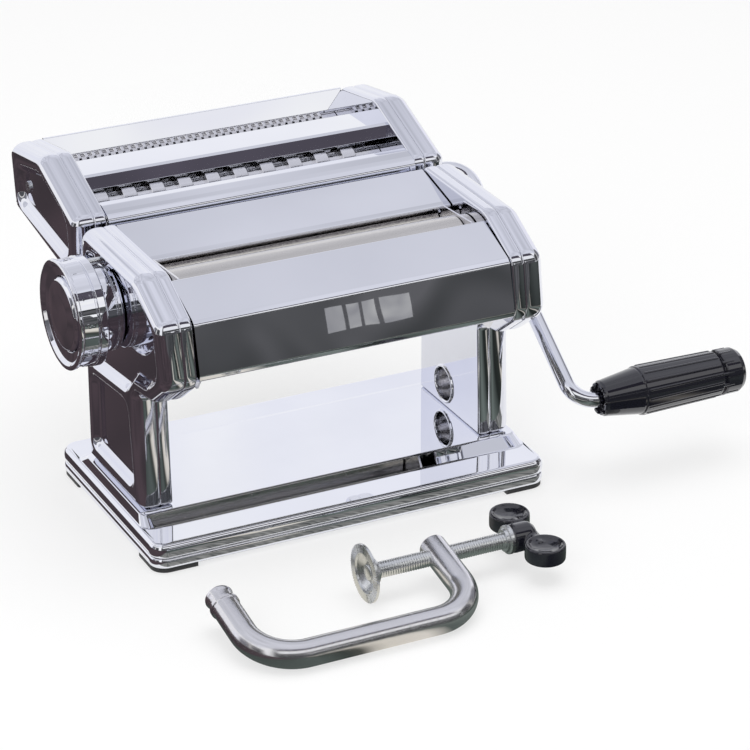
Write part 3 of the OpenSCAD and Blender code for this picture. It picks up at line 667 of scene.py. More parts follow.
CLOUD_SIZE = 55.0
SPECK_SIZE = 1.7
SPECK_RANGE = (0.3, 0.75)
COAT_ROUGHNESS = 0.06


class Grain(Enum):
    """Direction of the fine marks in a finish."""

    NONE = (1.0, 1.0, 1.0)
    ALONG_X = (0.03, 1.0, 1.0)
    ROUND_X = (1.0, 0.12, 0.12)


@dataclass(frozen=True)
class Finish:
    """A procedural finish.

    Attributes:
        name: Name of the material.
        dark: Darker of its two colours, linear.
        light: Lighter of its two colours, linear.
        metallic: 1 for metal.
        rough: Lowest and highest roughness.
        wave: Depth of slow waves in the surface, in millimetres.
        wave_size: Length of those waves, in millimetres.
        grain: Direction of fine marks.
        grain_depth: Depth of fine marks, in millimetres.
        grain_size: Size of fine marks, in millimetres.
        coat: Weight of a clear coat.
        specular: Specular level of the base layer.
    """

    name: str
    dark: Point3
    light: Point3
    metallic: float = 1.0
    rough: tuple[float, float] = (0.03, 0.07)
    wave: float = 0.0
    wave_size: float = 40.0
    grain: Grain = Grain.NONE
    grain_depth: float = 0.0
    grain_size: float = 0.6
    coat: float = 0.0
    specular: float = 0.5

    def build(self) -> Material:
        """Builds the material.

        Returns:
            The material.
        """
        material = bpy.data.materials.new(self.name)
        tree = Nodes.of(material)
        place = tree.places()
        tint = {
            "Factor": tree.noise(place, CLOUD_SIZE, 3.0),
            "A": (*self.dark, 1.0),
            "B": (*self.light, 1.0),
        }
        spread = {
            "Value": tree.noise(place, SPECK_SIZE, 2.0),
            "From Min": SPECK_RANGE[0],
            "From Max": SPECK_RANGE[1],
            "To Min": self.rough[0],
            "To Max": self.rough[1],
        }
        shader = {
            "Base Color": tree.add("ShaderNodeMix", tint, data_type="RGBA").outputs["Result"],
            "Metallic": self.metallic,
            "Roughness": tree.add("ShaderNodeMapRange", spread).outputs["Result"],
            "Specular IOR Level": self.specular,
            "Coat Weight": self.coat,
            "Coat Roughness": COAT_ROUGHNESS,
        }
        normal = None
        if self.wave:
            wave = tree.noise(place, self.wave_size, 1.0)
            normal = tree.bump(wave, self.wave, normal)
        if self.grain_depth:
            stretched = tree.stretched(place, self.grain.value)
            marks = tree.noise(stretched, self.grain_size, 4.0)
            normal = tree.bump(marks, self.grain_depth, normal)
        if normal is not None:
            shader["Normal"] = normal
        tree.surface(tree.add("ShaderNodeBsdfPrincipled", shader).outputs["BSDF"])
        return material


FINISHES: dict[str, Finish] = {
    f.name: f
    for f in (
        Finish(
            "polished_chrome", (0.79, 0.80, 0.86), (0.89, 0.90, 0.95), rough=(0.005, 0.016),
            wave=0.05, wave_size=38.0,
        ),
        Finish(
            "pressed_chrome", (0.74, 0.75, 0.82), (0.85, 0.86, 0.92), rough=(0.02, 0.06),
            wave=0.10, wave_size=34.0,
        ),
        Finish(
            "satin_chrome", (0.72, 0.71, 0.73), (0.86, 0.86, 0.89), rough=(0.16, 0.27),
            wave=0.06, wave_size=22.0, grain=Grain.ALONG_X, grain_depth=0.004, grain_size=0.5,
        ),
        Finish(
            "ground_steel", (0.60, 0.58, 0.56), (0.74, 0.72, 0.70), rough=(0.16, 0.28),
            grain=Grain.ROUND_X, grain_depth=0.003, grain_size=0.5,
        ),
        Finish(
            "cutter_steel", (0.86, 0.85, 0.84), (0.96, 0.95, 0.94), rough=(0.16, 0.24),
            grain=Grain.ROUND_X, grain_depth=0.001, grain_size=0.5,
        ),
        Finish(
            "gear_steel", (0.20, 0.20, 0.20), (0.34, 0.33, 0.32), rough=(0.28, 0.45),
            grain_depth=0.006, grain_size=0.8,
        ),
        Finish(
            "bright_zinc", (0.66, 0.68, 0.69), (0.84, 0.85, 0.86), rough=(0.22, 0.38),
            wave=0.03, wave_size=7.0, grain_depth=0.006, grain_size=0.9,
        ),
        Finish(
            "black_rubber", (0.012, 0.012, 0.013), (0.028, 0.028, 0.03), metallic=0.0,
            rough=(0.45, 0.7), grain_depth=0.02, grain_size=0.7,
        ),
        Finish(
            "black_plastic", (0.005, 0.005, 0.009), (0.010, 0.010, 0.017), metallic=0.0,
            rough=(0.06, 0.13), wave=0.02, wave_size=9.0, grain_depth=0.004, grain_size=0.45,
            specular=0.65, coat=0.7,
        ),
        Finish(
            "white_nylon", (0.66, 0.64, 0.58), (0.78, 0.76, 0.70), metallic=0.0,
            rough=(0.35, 0.5), grain_depth=0.008, grain_size=0.8,
        ),
    )
}


class Palette:
    """Builds each finish once and hands it out by name."""

    def __init__(self) -> None:
        """Starts without any finish."""
        self._made: dict[str, Material] = {}

    def __getitem__(self, name: str) -> Material:
        """Gives the material of a finish, and builds it at the first call.

        Args:
            name: Name of the finish.

        Returns:
            The material.
        """
        if name not in self._made:
            self._made[name] = FINISHES[name].build()
        return self._made[name]


# ---------------------------------------------------------------- repeated detail


class Repeats:
    """Geometry Nodes groups that repeat a unit mesh, and the code that runs them."""

    SEED = 7

    def __init__(self) -> None:
        """Builds both groups."""
        self.row = self._row_group()
        self.turn = self._turn_group()

    @staticmethod
    def _start(name: str, vectors: Sequence[str]) -> tuple[Nodes, bpy.types.NodeOutputs]:
        """Starts a group with its named inputs and its output.

        Args:
            name: Name of the group.
            vectors: Names of its vector inputs.

        Returns:
            The group's nodes and its inputs.
        """
        group = bpy.data.node_groups.new(name, "GeometryNodeTree")
        sockets = [("Unit", "Geometry"), ("Count", "Int")]
        sockets += [(label, "Vector") for label in vectors]
        sockets += [("Unevenness", "Float"), ("Seed", "Int"), ("Material", "Material")]
        for label, kind in sockets:
            group.interface.new_socket(label, in_out="INPUT", socket_type=f"NodeSocket{kind}")
        group.interface.new_socket("Geometry", in_out="OUTPUT", socket_type="NodeSocketGeometry")
        tree = Nodes(group)
        return tree, tree.add("NodeGroupInput").outputs

    @staticmethod
    def _end(
        tree: Nodes, given: bpy.types.NodeOutputs, copies: dict[str | int, object]
    ) -> bpy.types.NodeTree:
        """Ends a group: copies of slightly uneven size, made real, with their material.

        Args:
            tree: The group's nodes.
            given: The group's inputs.
            copies: What places and turns the copies.

        Returns:
            The group.
        """
        low = tree.add("ShaderNodeMath", {0: 1.0, 1: given["Unevenness"]}, operation="SUBTRACT")
        chance = {2: low.outputs["Value"], 3: 1.0, "Seed": given["Seed"]}
        size = tree.add("FunctionNodeRandomValue", chance, data_type="FLOAT").outputs[1]
        copies = {**copies, "Instance": given["Unit"], "Scale": size}
        copied = tree.add("GeometryNodeInstanceOnPoints", copies).outputs["Instances"]
        real = tree.add("GeometryNodeRealizeInstances", {"Geometry": copied}).outputs["Geometry"]
        paint = {"Geometry": real, "Material": given["Material"]}
        painted = tree.add("GeometryNodeSetMaterial", paint).outputs["Geometry"]
        tree.add("NodeGroupOutput", {"Geometry": painted})
        return tree.tree

    def _row_group(self) -> bpy.types.NodeTree:
        """Group that repeats the unit in a straight row.

        Returns:
            The group.
        """
        tree, given = self._start("RepeatInRow", ("Start", "Step"))
        line = {
            "Count": given["Count"],
            "Start Location": given["Start"],
            "Offset": given["Step"],
        }
        points = tree.add("GeometryNodeMeshLine", line).outputs["Mesh"]
        return self._end(tree, given, {"Points": points})

    def _turn_group(self) -> bpy.types.NodeTree:
        """Group that repeats the unit round an axis through a centre.

        Returns:
            The group.
        """
        tree, given = self._start("RepeatRoundAxis", ("Centre", "Step Angles", "Start Angles"))
        line = {
            "Count": given["Count"],
            "Start Location": given["Centre"],
            "Offset": (0.0, 0.0, 0.0),
        }
        points = tree.add("GeometryNodeMeshLine", line).outputs["Mesh"]
        number = tree.add("GeometryNodeInputIndex").outputs["Index"]
        turn = {0: given["Step Angles"], 1: number, 2: given["Start Angles"]}
        angle = tree.add("ShaderNodeVectorMath", turn, operation="MULTIPLY_ADD").outputs["Vector"]
        return self._end(tree, given, {"Points": points, "Rotation": angle})

    def _run(
        self,
        unit: Piece,
        group: bpy.types.NodeTree,
        finish: Material,
        values: dict[str, object],
    ) -> Piece:
        """Runs a group on a unit object and keeps the result as its mesh.

        Args:
            unit: The object that holds the unit mesh.
            group: The node group.
            finish: Material.
            values: The group's other inputs by name.

        Returns:
            The same object with the repeated mesh.
        """
        values = {**values, "Seed": self.SEED, "Material": finish}
        modifier = unit.modifiers.new(group.name, "NODES")
        modifier.node_group = group
        for item in group.interface.items_tree:
            if item.item_type == "SOCKET" and item.in_out == "INPUT" and item.name in values:
                modifier[item.identifier] = values[item.name]
        return bake(unit)

    def in_row(
        self,
        unit: Piece,
        count: int,
        start: Point3,
        step: Point3,
        finish: Material,
    ) -> Piece:
        """Repeats a unit in a row.

        Args:
            unit: Object that holds the unit, modelled round the origin.
            count: Number of copies.
            start: Place of the first, in millimetres.
            step: From one to the next, in millimetres.
            finish: Material.

        Returns:
            The object with all copies.
        """
        values = {
            "Count": count,
            "Start": tuple(v * MM for v in start),
            "Step": tuple(v * MM for v in step),
            "Unevenness": 0.0,
        }
        return self._run(unit, self.row, finish, values)

    def round_axis(
        self,
        unit: Piece,
        count: int,
        centre: Point2,
        finish: Material,
        start: float = 0.0,
        uneven: float = 0.0,
    ) -> Piece:
        """Repeats a unit evenly round an axis along X.

        Args:
            unit: Object that holds the unit, modelled as if the centre were the origin.
            count: Number of copies.
            centre: Axis as (y, z), in millimetres.
            finish: Material.
            start: Turn of the first, in degrees.
            uneven: How much smaller a copy may be, as a share.

        Returns:
            The object with all copies.
        """
        values = {
            "Count": count,
            "Centre": (0.0, centre[0] * MM, centre[1] * MM),
            "Step Angles": (math.radians(360.0 / count), 0.0, 0.0),
            "Start Angles": (math.radians(start), 0.0, 0.0),
            "Unevenness": uneven,
        }
        return self._run(unit, self.turn, finish, values)


@dataclass
class Workshop:
    """What every sub-assembly needs.

    Attributes:
        palette: Materials of the finishes.
        repeats: Geometry Nodes groups for what repeats.
        made: Names of the finished pieces.
    """

    palette: Palette = field(default_factory=Palette)
    repeats: Repeats = field(default_factory=Repeats)
    made: list[str] = field(default_factory=list)

    def place(self, obj: Piece, body: str, slot: str, replaces: Sequence[str] = ()) -> None:
        """Attaches a finished piece to the frame.

        Args:
            obj: The piece.
            body: CAD body it rides on.
            slot: Material slot it stands for; not used.
            replaces: CAD nodes it stands for.
        """
        even = obj.modifiers.new("EvenNormals", "WEIGHTED_NORMAL")
        even.keep_sharp = True
        even.weight = 100
        bake(obj)
        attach(obj, body)
        if replaces:
            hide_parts(*replaces)
        faces = len(obj.data.polygons)
        log.info("%-22s rides on %-16s %7d faces", obj.name, body, faces)
        self.made.append(obj.name)


# ---------------------------------------------------------------- stations


@dataclass(frozen=True)
class Stations:
    """Places across the machine and along its sides that its pieces share.

    Attributes:
        plate: Inner plates of both heads.
        sheet: Thickness of the sheets.
        flange: Edge of the plates' flanges.
        cover: Inner edge of the outer covers.
        face: Outer face of the covers.
        panel: Floor of their recesses.
        roller_y: Axes of the smooth rollers, front and rear.
        roller_z: Height of those axes.
        roller_r: Radius of the smooth rollers.
        knob: Axis of the knob.
        wide: Axes of the wide cutters.
        fine: Axes of the fine cutters.
        clamp_hole: Hole for the clamp.
        drive_hole: Radius of the hole round a driven shaft.
        knob_hole: Radius of the hole round the knob's shaft.
        pin_hole: Hole for the knob's index pin.
        rivet: Rivet in the covers of the cutter head.
    """

    plate: float = 81.5
    sheet: float = 1.2
    flange: float = 87.5
    cover: float = 88.0
    face: float = 99.0
    panel: float = 95.0
    roller_y: tuple[float, float] = (-18.0, 13.8)
    roller_z: float = 114.2
    roller_r: float = 15.6
    knob: Point2 = (5.5, 107.5)
    wide: tuple[Point2, Point2] = ((56.5, 122.0), (75.3, 122.0))
    fine: tuple[Point2, Point2] = ((97.5, 126.0), (113.7, 126.0))
    clamp_hole: Corner = (7.0, 29.0, 8.5)
    drive_hole: float = 5.86
    knob_hole: float = 4.06
    pin_hole: Corner = (8.67, 130.08, 1.6)
    rivet: Corner = (111.0, 129.0, 1.5)


AT = Stations()

HEAD_OUTLINE: tuple[Corner, ...] = (
    (-31.0, 16.5, 1.5), (33.5, 16.5, 1.5), (33.5, 137.0, 4.5), (-33.0, 137.0, 16.0),
    (-60.5, 123.0, 8.0), (-65.5, 93.0, 9.0), (-47.0, 79.0, 9.0), (-28.0, 76.0, 4.5),
)
HEAD_PANEL: tuple[Corner, ...] = (
    (-19.0, 74.5, 6.5), (27.5, 69.5, 6.5), (27.5, 131.2, 8.0), (-30.0, 131.2, 14.0),
    (-53.0, 118.5, 10.0), (-57.5, 96.5, 11.0), (-45.0, 86.5, 11.0), (-28.0, 84.0, 4.0),
)
LEG_PANEL: tuple[Corner, ...] = (
    (-24.5, 25.5, 5.5), (27.5, 25.5, 5.5), (27.5, 64.0, 6.5), (-19.5, 69.0, 6.5),
)
CUTTER_OUTLINE: tuple[Corner, ...] = (
    (39.0, 103.0, 8.0), (62.0, 104.5, 20.0), (123.5, 113.5, 8.0), (128.0, 147.0, 6.0),
    (86.0, 154.0, 14.0), (41.0, 137.0, 6.0),
)
CUTTER_PANEL: tuple[Corner, ...] = (
    (50.0, 111.0, 9.0), (117.0, 118.5, 8.0), (121.0, 138.0, 10.0), (86.0, 145.5, 18.0),
    (51.5, 134.5, 11.0),
)


# ---------------------------------------------------------------- base


@dataclass
class Base:
    """The pressed base plate and its four rubber feet.

    Attributes:
        shop: The workshop.
        width: Size along X.
        depth: Size along Y.
        radius: Radius of its corners.
        platform: Front and back of the raised platform.
        margin: How far the platform reaches past the covers.
        run: How far its slopes run out.
        foot_length: Length of a foot along each side.
        foot_height: Height of a foot.
        foot_bevel: Bevel of a foot, as a share of its width.
    """

    shop: Workshop
    width: float = 208.0
    depth: float = 122.4
    radius: float = 8.0
    platform: tuple[float, float] = (-35.0, 35.5)
    margin: float = 0.6
    run: float = 8.0
    foot_length: float = 22.0
    foot_height: float = 2.5
    foot_bevel: float = 0.12

    def build(self) -> None:
        """Makes the base plate and the feet."""
        self.shop.place(self._plate(), "stand", "base_chrome", ["base_plate"])
        self.shop.place(self._feet(), "stand", "black_rubber", ["base_feet"])

    @staticmethod
    def _level(
        width: float, depth: float, radius: float, z: float, y: float = 0.0
    ) -> list[Point3]:
        """One level of the base as a round-cornered rectangle.

        Args:
            width: Size along X.
            depth: Size along Y.
            radius: Corner radius.
            z: Height.
            y: Centre, front to back.

        Returns:
            The points.
        """
        w, d = width / 2, depth / 2
        corners = [(-w, -d, radius), (w, -d, radius), (w, d, radius), (-w, d, radius)]
        return [(px, py + y, z) for px, py in rounded(corners, 10)]

    def _plate(self) -> Piece:
        """The plate: a rolled rim, a level margin and the sloped platform.

        Returns:
            The object.
        """
        w, d, r = self.width, self.depth, self.radius
        rim = (
            (1.3, 0.0), (0.75, 0.15), (0.42, 0.6), (0.2, 1.4), (0.1, 2.4), (0.14, 3.4),
            (0.3, 4.2), (0.62, 4.75), (1.0, 5.0), (1.02, 5.3), (0.7, 5.5), (0.36, 5.9),
            (0.12, 6.8), (0.0, 8.0), (0.06, 9.2), (0.28, 10.3), (0.7, 11.2), (1.15, 11.6),
            (1.3, 11.75), (1.55, 12.2), (2.0, 12.42), (2.7, 12.5), (3.3, 12.5),
        )
        rings = [self._level(w - 2 * i, d - 2 * i, max(r - i, 0.5), z) for i, z in rim]
        mid = (self.platform[0] + self.platform[1]) / 2
        pw = 2 * (AT.face + self.margin)
        pd = self.platform[1] - self.platform[0]
        slope = (
            (1.10, 12.5), (1.0, 12.56), (0.9, 12.85), (0.12, 16.1), (0.02, 16.42), (-0.08, 16.5),
        )
        for out, z in slope:
            depth = pd + 2 * self.run * out
            rings.append(self._level(pw + 4 * out, depth, 4.0 + 2.0 * out, z, mid))
        b = MeshBuilder()
        b.loft(rings, caps=(False, True))
        under = ((0.9, 0.0), (2.1, 0.0), (2.2, 0.4), (2.2, 10.6), (2.9, 11.3))
        inner = [self._level(w - 2 * i, d - 2 * i, r - i, z) for i, z in under]
        inner.append(self._level(pw + 2.0, pd + 12.0, 5.0, 11.3, mid))
        inner.append(self._level(pw - 2.4, pd - 2.4, 3.0, 15.3, mid))
        b.loft(inner, caps=(False, True))
        return b.make("base_pressing", self.shop.palette["polished_chrome"], sharp=50.0)

    def _feet(self) -> Piece:
        """Four rubber feet that follow the corners of the rim.

        Returns:
            The object.
        """
        b = MeshBuilder()
        w, d, r = self.width, self.depth, self.radius
        outer = self._level(w - 1.6, d - 1.6, r - 0.8, 0.0)
        inner = self._level(w - 14.0, d - 14.0, r - 3.0, 0.0)
        quarter = len(outer) // 4
        length = self.foot_length
        for c in range(4):
            arc_out = outer[c * quarter : (c + 1) * quarter]
            arc_in = inner[c * quarter : (c + 1) * quarter]
            sx = 1 if arc_out[0][0] > 0 else -1
            sy = 1 if arc_out[0][1] > 0 else -1
            ends = [(sx * (w / 2 - length), None), (None, sy * (d / 2 - length))]
            if abs(arc_out[0][0]) > abs(arc_out[-1][0]):
                ends = ends[::-1]
            line_out = self._with_ends(arc_out, ends)
            line_in = self._with_ends(arc_in, ends)
            low, soft, bevel = -self.foot_height, 0.5 - self.foot_height, self.foot_bevel
            rings = []
            for (xo, yo, _), (xi, yi, _) in zip(line_out, line_in):
                dx, dy = (xi - xo) * bevel, (yi - yo) * bevel
                outside = [(xo, yo, 0.0), (xo, yo, soft), (xo + dx, yo + dy, low)]
                rings.append(outside + [(xi - dx, yi - dy, low), (xi, yi, soft), (xi, yi, 0.0)])
            b.loft(rings)
        return b.make("base_foot_pads", self.shop.palette["black_rubber"], FOLD)

    @staticmethod
    def _with_ends(
        arc: Sequence[Point3], ends: Sequence[tuple[float | None, float | None]]
    ) -> list[Point3]:
        """Lengthens a corner arc along both sides of the rim, in even steps.

        Args:
            arc: Points of the corner.
            ends: Where the two straight parts end, as (x, None) or (None, y).

        Returns:
            The longer line.
        """
        steps = 6
        before, after = [], []
        for end, near, store in ((ends[0], arc[0], before), (ends[1], arc[-1], after)):
            goal = [near[i] if end[i] is None else end[i] for i in (0, 1)]
            for k in range(1, steps + 1):
                x, y = (near[i] + (goal[i] - near[i]) * k / steps for i in (0, 1))
                store.append((x, y, 0.0))
        return before[::-1] + list(arc) + after


# ---------------------------------------------------------------- cheeks


@dataclass
class Cheek:
    """One pressed side of a head: a flanged inner plate and a recessed outer cover.

    Attributes:
        shop: The workshop.
        name: Start of the pieces' names.
        body: CAD body.
        side: 1 on the right, -1 on the left.
        outline: Side outline.
        panels: Recessed panels of the cover.
        plate_holes: Holes in the inner plate as (y, z, radius).
        cover_holes: Holes in the cover's panels as (y, z, radius).
        nodes: CAD nodes that the plate and the cover stand for.
        lip: How far a recess reaches outside its panel's outline.
        fillet: How far it reaches inside.
        recess_steps: Steps of a recess's soft edge.
        corner_steps: Straight pieces in each rounded corner.
        flange_line: Rolled edge of the inner plate, as (station, inset).
        cover_line: Rolled edge of the cover, as (station, inset).
    """

    shop: Workshop
    name: str
    body: str
    side: int
    outline: Sequence[Corner]
    panels: Sequence[Sequence[Corner]]
    plate_holes: Sequence[Corner]
    cover_holes: Sequence[Corner]
    nodes: tuple[str, str]
    lip: float = 1.9
    fillet: float = 3.6
    recess_steps: int = 16
    corner_steps: int = 12
    flange_line: tuple[Point2, ...] = (
        (87.95, 0.62), (87.7, 0.4), (87.3, 0.22), (86.7, 0.09), (86.0, 0.02), (85.2, 0.0),
        (84.2, 0.05), (83.4, 0.16),
    )
    cover_line: tuple[Point2, ...] = (
        (88.0, 0.6), (88.2, 0.4), (88.6, 0.22), (89.3, 0.09), (90.2, 0.02), (91.2, 0.0),
        (92.5, 0.03), (93.7, 0.16), (94.8, 0.42), (95.8, 0.82), (96.7, 1.35), (97.5, 1.98),
        (98.15, 2.65), (98.65, 3.3), (99.0, 3.8),
    )

    def build(self) -> None:
        """Makes both halves."""
        self.shop.place(self._plate(), self.body, "chrome", [self.nodes[0]])
        self.shop.place(self._cover(), self.body, "chrome", [self.nodes[1]])

    def _at(self, x: float) -> Callable[[Point2], Point3]:
        """Gives the function that sets a side point at a station.

        Args:
            x: Station on the right-hand side.

        Returns:
            The function.
        """
        return lambda p: (self.side * x, p[0], p[1])

    def _ring(self, corners: Sequence[Corner], x: float) -> list[Point3]:
        """A rounded outline at a station.

        Args:
            corners: The outline.
            x: Station on the right-hand side.

        Returns:
            The points.
        """
        return [(self.side * x, y, z) for y, z in rounded(corners, self.corner_steps)]

    def _pierced(
        self, b: MeshBuilder, rim: Sequence[Point2], holes: Sequence[Corner], x: float, end: float
    ) -> None:
        """Adds a flat stretch and the walls of its round holes.

        Args:
            b: Mesh to add to.
            rim: Outline of the stretch.
            holes: Holes as (y, z, radius).
            x: Station of the stretch.
            end: Station where the holes' walls end.
        """
        loops = [circle(y, z, r) for y, z, r in holes]
        b.region(rim, loops, self._at(x))
        for loop in loops:
            b.loft([[self._at(at)(p) for p in loop] for at in (x, end)], caps=OPEN)

    def _plate(self) -> Piece:
        """The inner plate with its turned, slightly domed flange.

        Returns:
            The object.
        """
        bend, bend_steps = 1.7, 6
        line = [
            (AT.plate + 3.0, AT.sheet + 0.7), (AT.flange - 0.3, AT.sheet + 0.7),
            (AT.flange + 0.45, 1.5), (AT.flange + 0.45, 0.95),
            *self.flange_line,
        ]
        for k in range(1, bend_steps + 1):
            a = math.pi / 2 * k / bend_steps
            inwards = 0.2 + (bend - 0.2) * (1 - math.cos(a))
            line.append((AT.plate + bend * (1 - math.sin(a)), inwards))
        b = MeshBuilder()
        b.loft([self._ring(inset(self.outline, i), x) for x, i in line], caps=OPEN)
        rim = rounded(inset(self.outline, bend), self.corner_steps)
        self._pierced(b, rim, self.plate_holes, AT.plate, AT.plate + AT.sheet)
        return b.make(f"{self.name}_plate", self.shop.palette["pressed_chrome"], FOLD)

    def _cover(self) -> Piece:
        """The outer cover with its rounded edge and recessed panels.

        Returns:
            The object.
        """
        line = [
            (AT.cover + 3.0, AT.sheet + 0.9), (AT.cover + 0.3, AT.sheet + 0.9), (AT.cover, 1.6),
            *self.cover_line,
        ]
        b = MeshBuilder()
        b.loft([self._ring(inset(self.outline, i), x) for x, i in line], caps=OPEN)
        rim = rounded(inset(self.outline, self.cover_line[-1][1]), self.corner_steps)
        mouths = [rounded(inset(p, -self.lip), self.corner_steps) for p in self.panels]
        b.region(rim, mouths, self._at(AT.face))
        for panel in self.panels:
            self._recess(b, panel)
        return b.make(f"{self.name}_cover", self.shop.palette["pressed_chrome"], FOLD)

    def _recess(self, b: MeshBuilder, panel: Sequence[Corner]) -> None:
        """Adds one recessed panel: a soft step and its floor.

        Args:
            b: Mesh to add to.
            panel: Outline of the panel.
        """
        rings = []
        for k in range(self.recess_steps + 1):
            t = k / self.recess_steps
            drop = t * t * (3.0 - 2.0 * t)
            out = self.lip - (self.lip + self.fillet) * t
            x = AT.face - (AT.face - AT.panel) * drop
            rings.append(self._ring(inset(panel, -out), x))
        b.loft(rings, caps=OPEN)
        floor = rounded(inset(panel, self.fillet), self.corner_steps)
        holes = [hole for hole in self.cover_holes if inside(hole[:2], floor)]
        self._pierced(b, floor, holes, AT.panel, AT.panel - AT.sheet)


# ---------------------------------------------------------------- main head


@dataclass
class HeadCovers:
    """The folded sheets across the main head: front fascia and rear cover.

    Attributes:
        shop: The workshop.
        half: Half the length of both sheets.
        skin: Their thickness.
    """

    shop: Workshop
    half: float = 80.9
    skin: float = 1.0

    def build(self) -> None:
        """Makes both sheets."""
        chrome = self.shop.palette["polished_chrome"]
        front = (
            (-31.5, 129.4, 0.0), (-33.5, 132.8, 1.4), (-58.0, 122.8, 2.4), (-60.2, 121.0, 2.6),
            (-65.7, 97.4, 2.2), (-65.0, 95.0, 1.6), (-62.5, 93.6, 1.6), (-59.0, 94.4, 0.0),
        )
        section = folded(front, self.skin, 7)
        fascia = slab("front_fascia", section, -self.half, self.half, chrome, FOLD)
        end = (
            (-34.3, 131.4), (-57.6, 121.8), (-59.4, 120.4), (-64.6, 97.4), (-63.6, 95.2),
            (-59.6, 95.0), (-47.0, 91.0), (-47.0, 126.8),
        )
        brackets = [
            slab(f"fascia_bracket_{i}", end, x, x + self.skin, chrome)
            for i, x in enumerate((-self.half, self.half - self.skin))
        ]
        fascia = join("front_fascia", [fascia, *brackets])
        self.shop.place(fascia, "stand", "chrome", ["front_cover"])
        rear = (
            (33.5, 75.0, 0.0), (33.5, 134.6, 3.0), (31.5, 135.6, 1.0), (4.0, 129.1, 2.0),
            (0.4, 128.0, 1.3), (1.5, 124.8, 0.0),
        )
        section = folded(rear, self.skin, 7)
        hood = slab("rear_hood", section, -self.half, self.half, chrome, FOLD)
        self.shop.place(hood, "stand", "chrome", ["rear_cover"])


@dataclass
class Rollers:
    """The two smooth rollers.

    Attributes:
        shop: The workshop.
        drum: Half the length of a drum.
        shoulder: Where the journals start.
        hub: Radius of the hub beside the drum.
        collar: Radius of the collar beyond the pasta guide.
        collar_ends: Where the collar starts and ends.
        journal: Radius of a plain journal.
        drive: Radius of the journal with the crank's socket.
        socket: Radius of that socket.
        socket_ends: Its bottom and its mouth.
        bevel: Bevel of a shaft's end.
    """

    shop: Workshop
    drum: float = 75.0
    shoulder: float = 81.2
    hub: float = 8.5
    collar: float = 15.3
    collar_ends: tuple[float, float] = (76.8, 80.9)
    journal: float = 4.5
    drive: float = 5.56
    socket: float = 4.06
    socket_ends: tuple[float, float] = (70.5, 94.5)
    bevel: float = 0.4

    def build(self) -> None:
        """Makes both rollers."""
        steel = self.shop.palette["ground_steel"]
        h, c, end = self.hub, self.collar, self.shoulder
        c0, c1 = self.collar_ends
        half = (
            (self.drum - 0.5, AT.roller_r), (self.drum, AT.roller_r - 0.5), (self.drum, h),
            (c0, h), (c0, c), (c1, c), (c1, h), (end, h),
        )
        body = (*((-x, r) for x, r in reversed(half)), *half)
        j, e = self.journal, self.bevel
        front = ((-85.9, 0.0), (-85.9, j - e), (-85.5, j), (-end, j), *body)
        front += ((end, j), (90.1, j), (90.5, j - e), (90.5, 0.0))
        piece = lathe("front_drum", front, (AT.roller_y[0], AT.roller_z), steel, 96)
        self.shop.place(piece, "front_roller", "roller_metal", ["front_roller"])
        d, s = self.drive, self.socket
        bottom, mouth = self.socket_ends
        rear = ((-85.7, 0.0), (-85.7, j - e), (-85.3, j), (-end, j), *body)
        rear += ((end, d), (mouth - e, d), (mouth, d - e), (mouth, s + 0.3), (mouth - 0.3, s))
        rear += ((bottom, s), (bottom, 0.0))
        piece = lathe("rear_drum", rear, (AT.roller_y[1], AT.roller_z), steel, 96)
        self.shop.place(piece, "rear_roller", "roller_metal", ["rear_roller"])


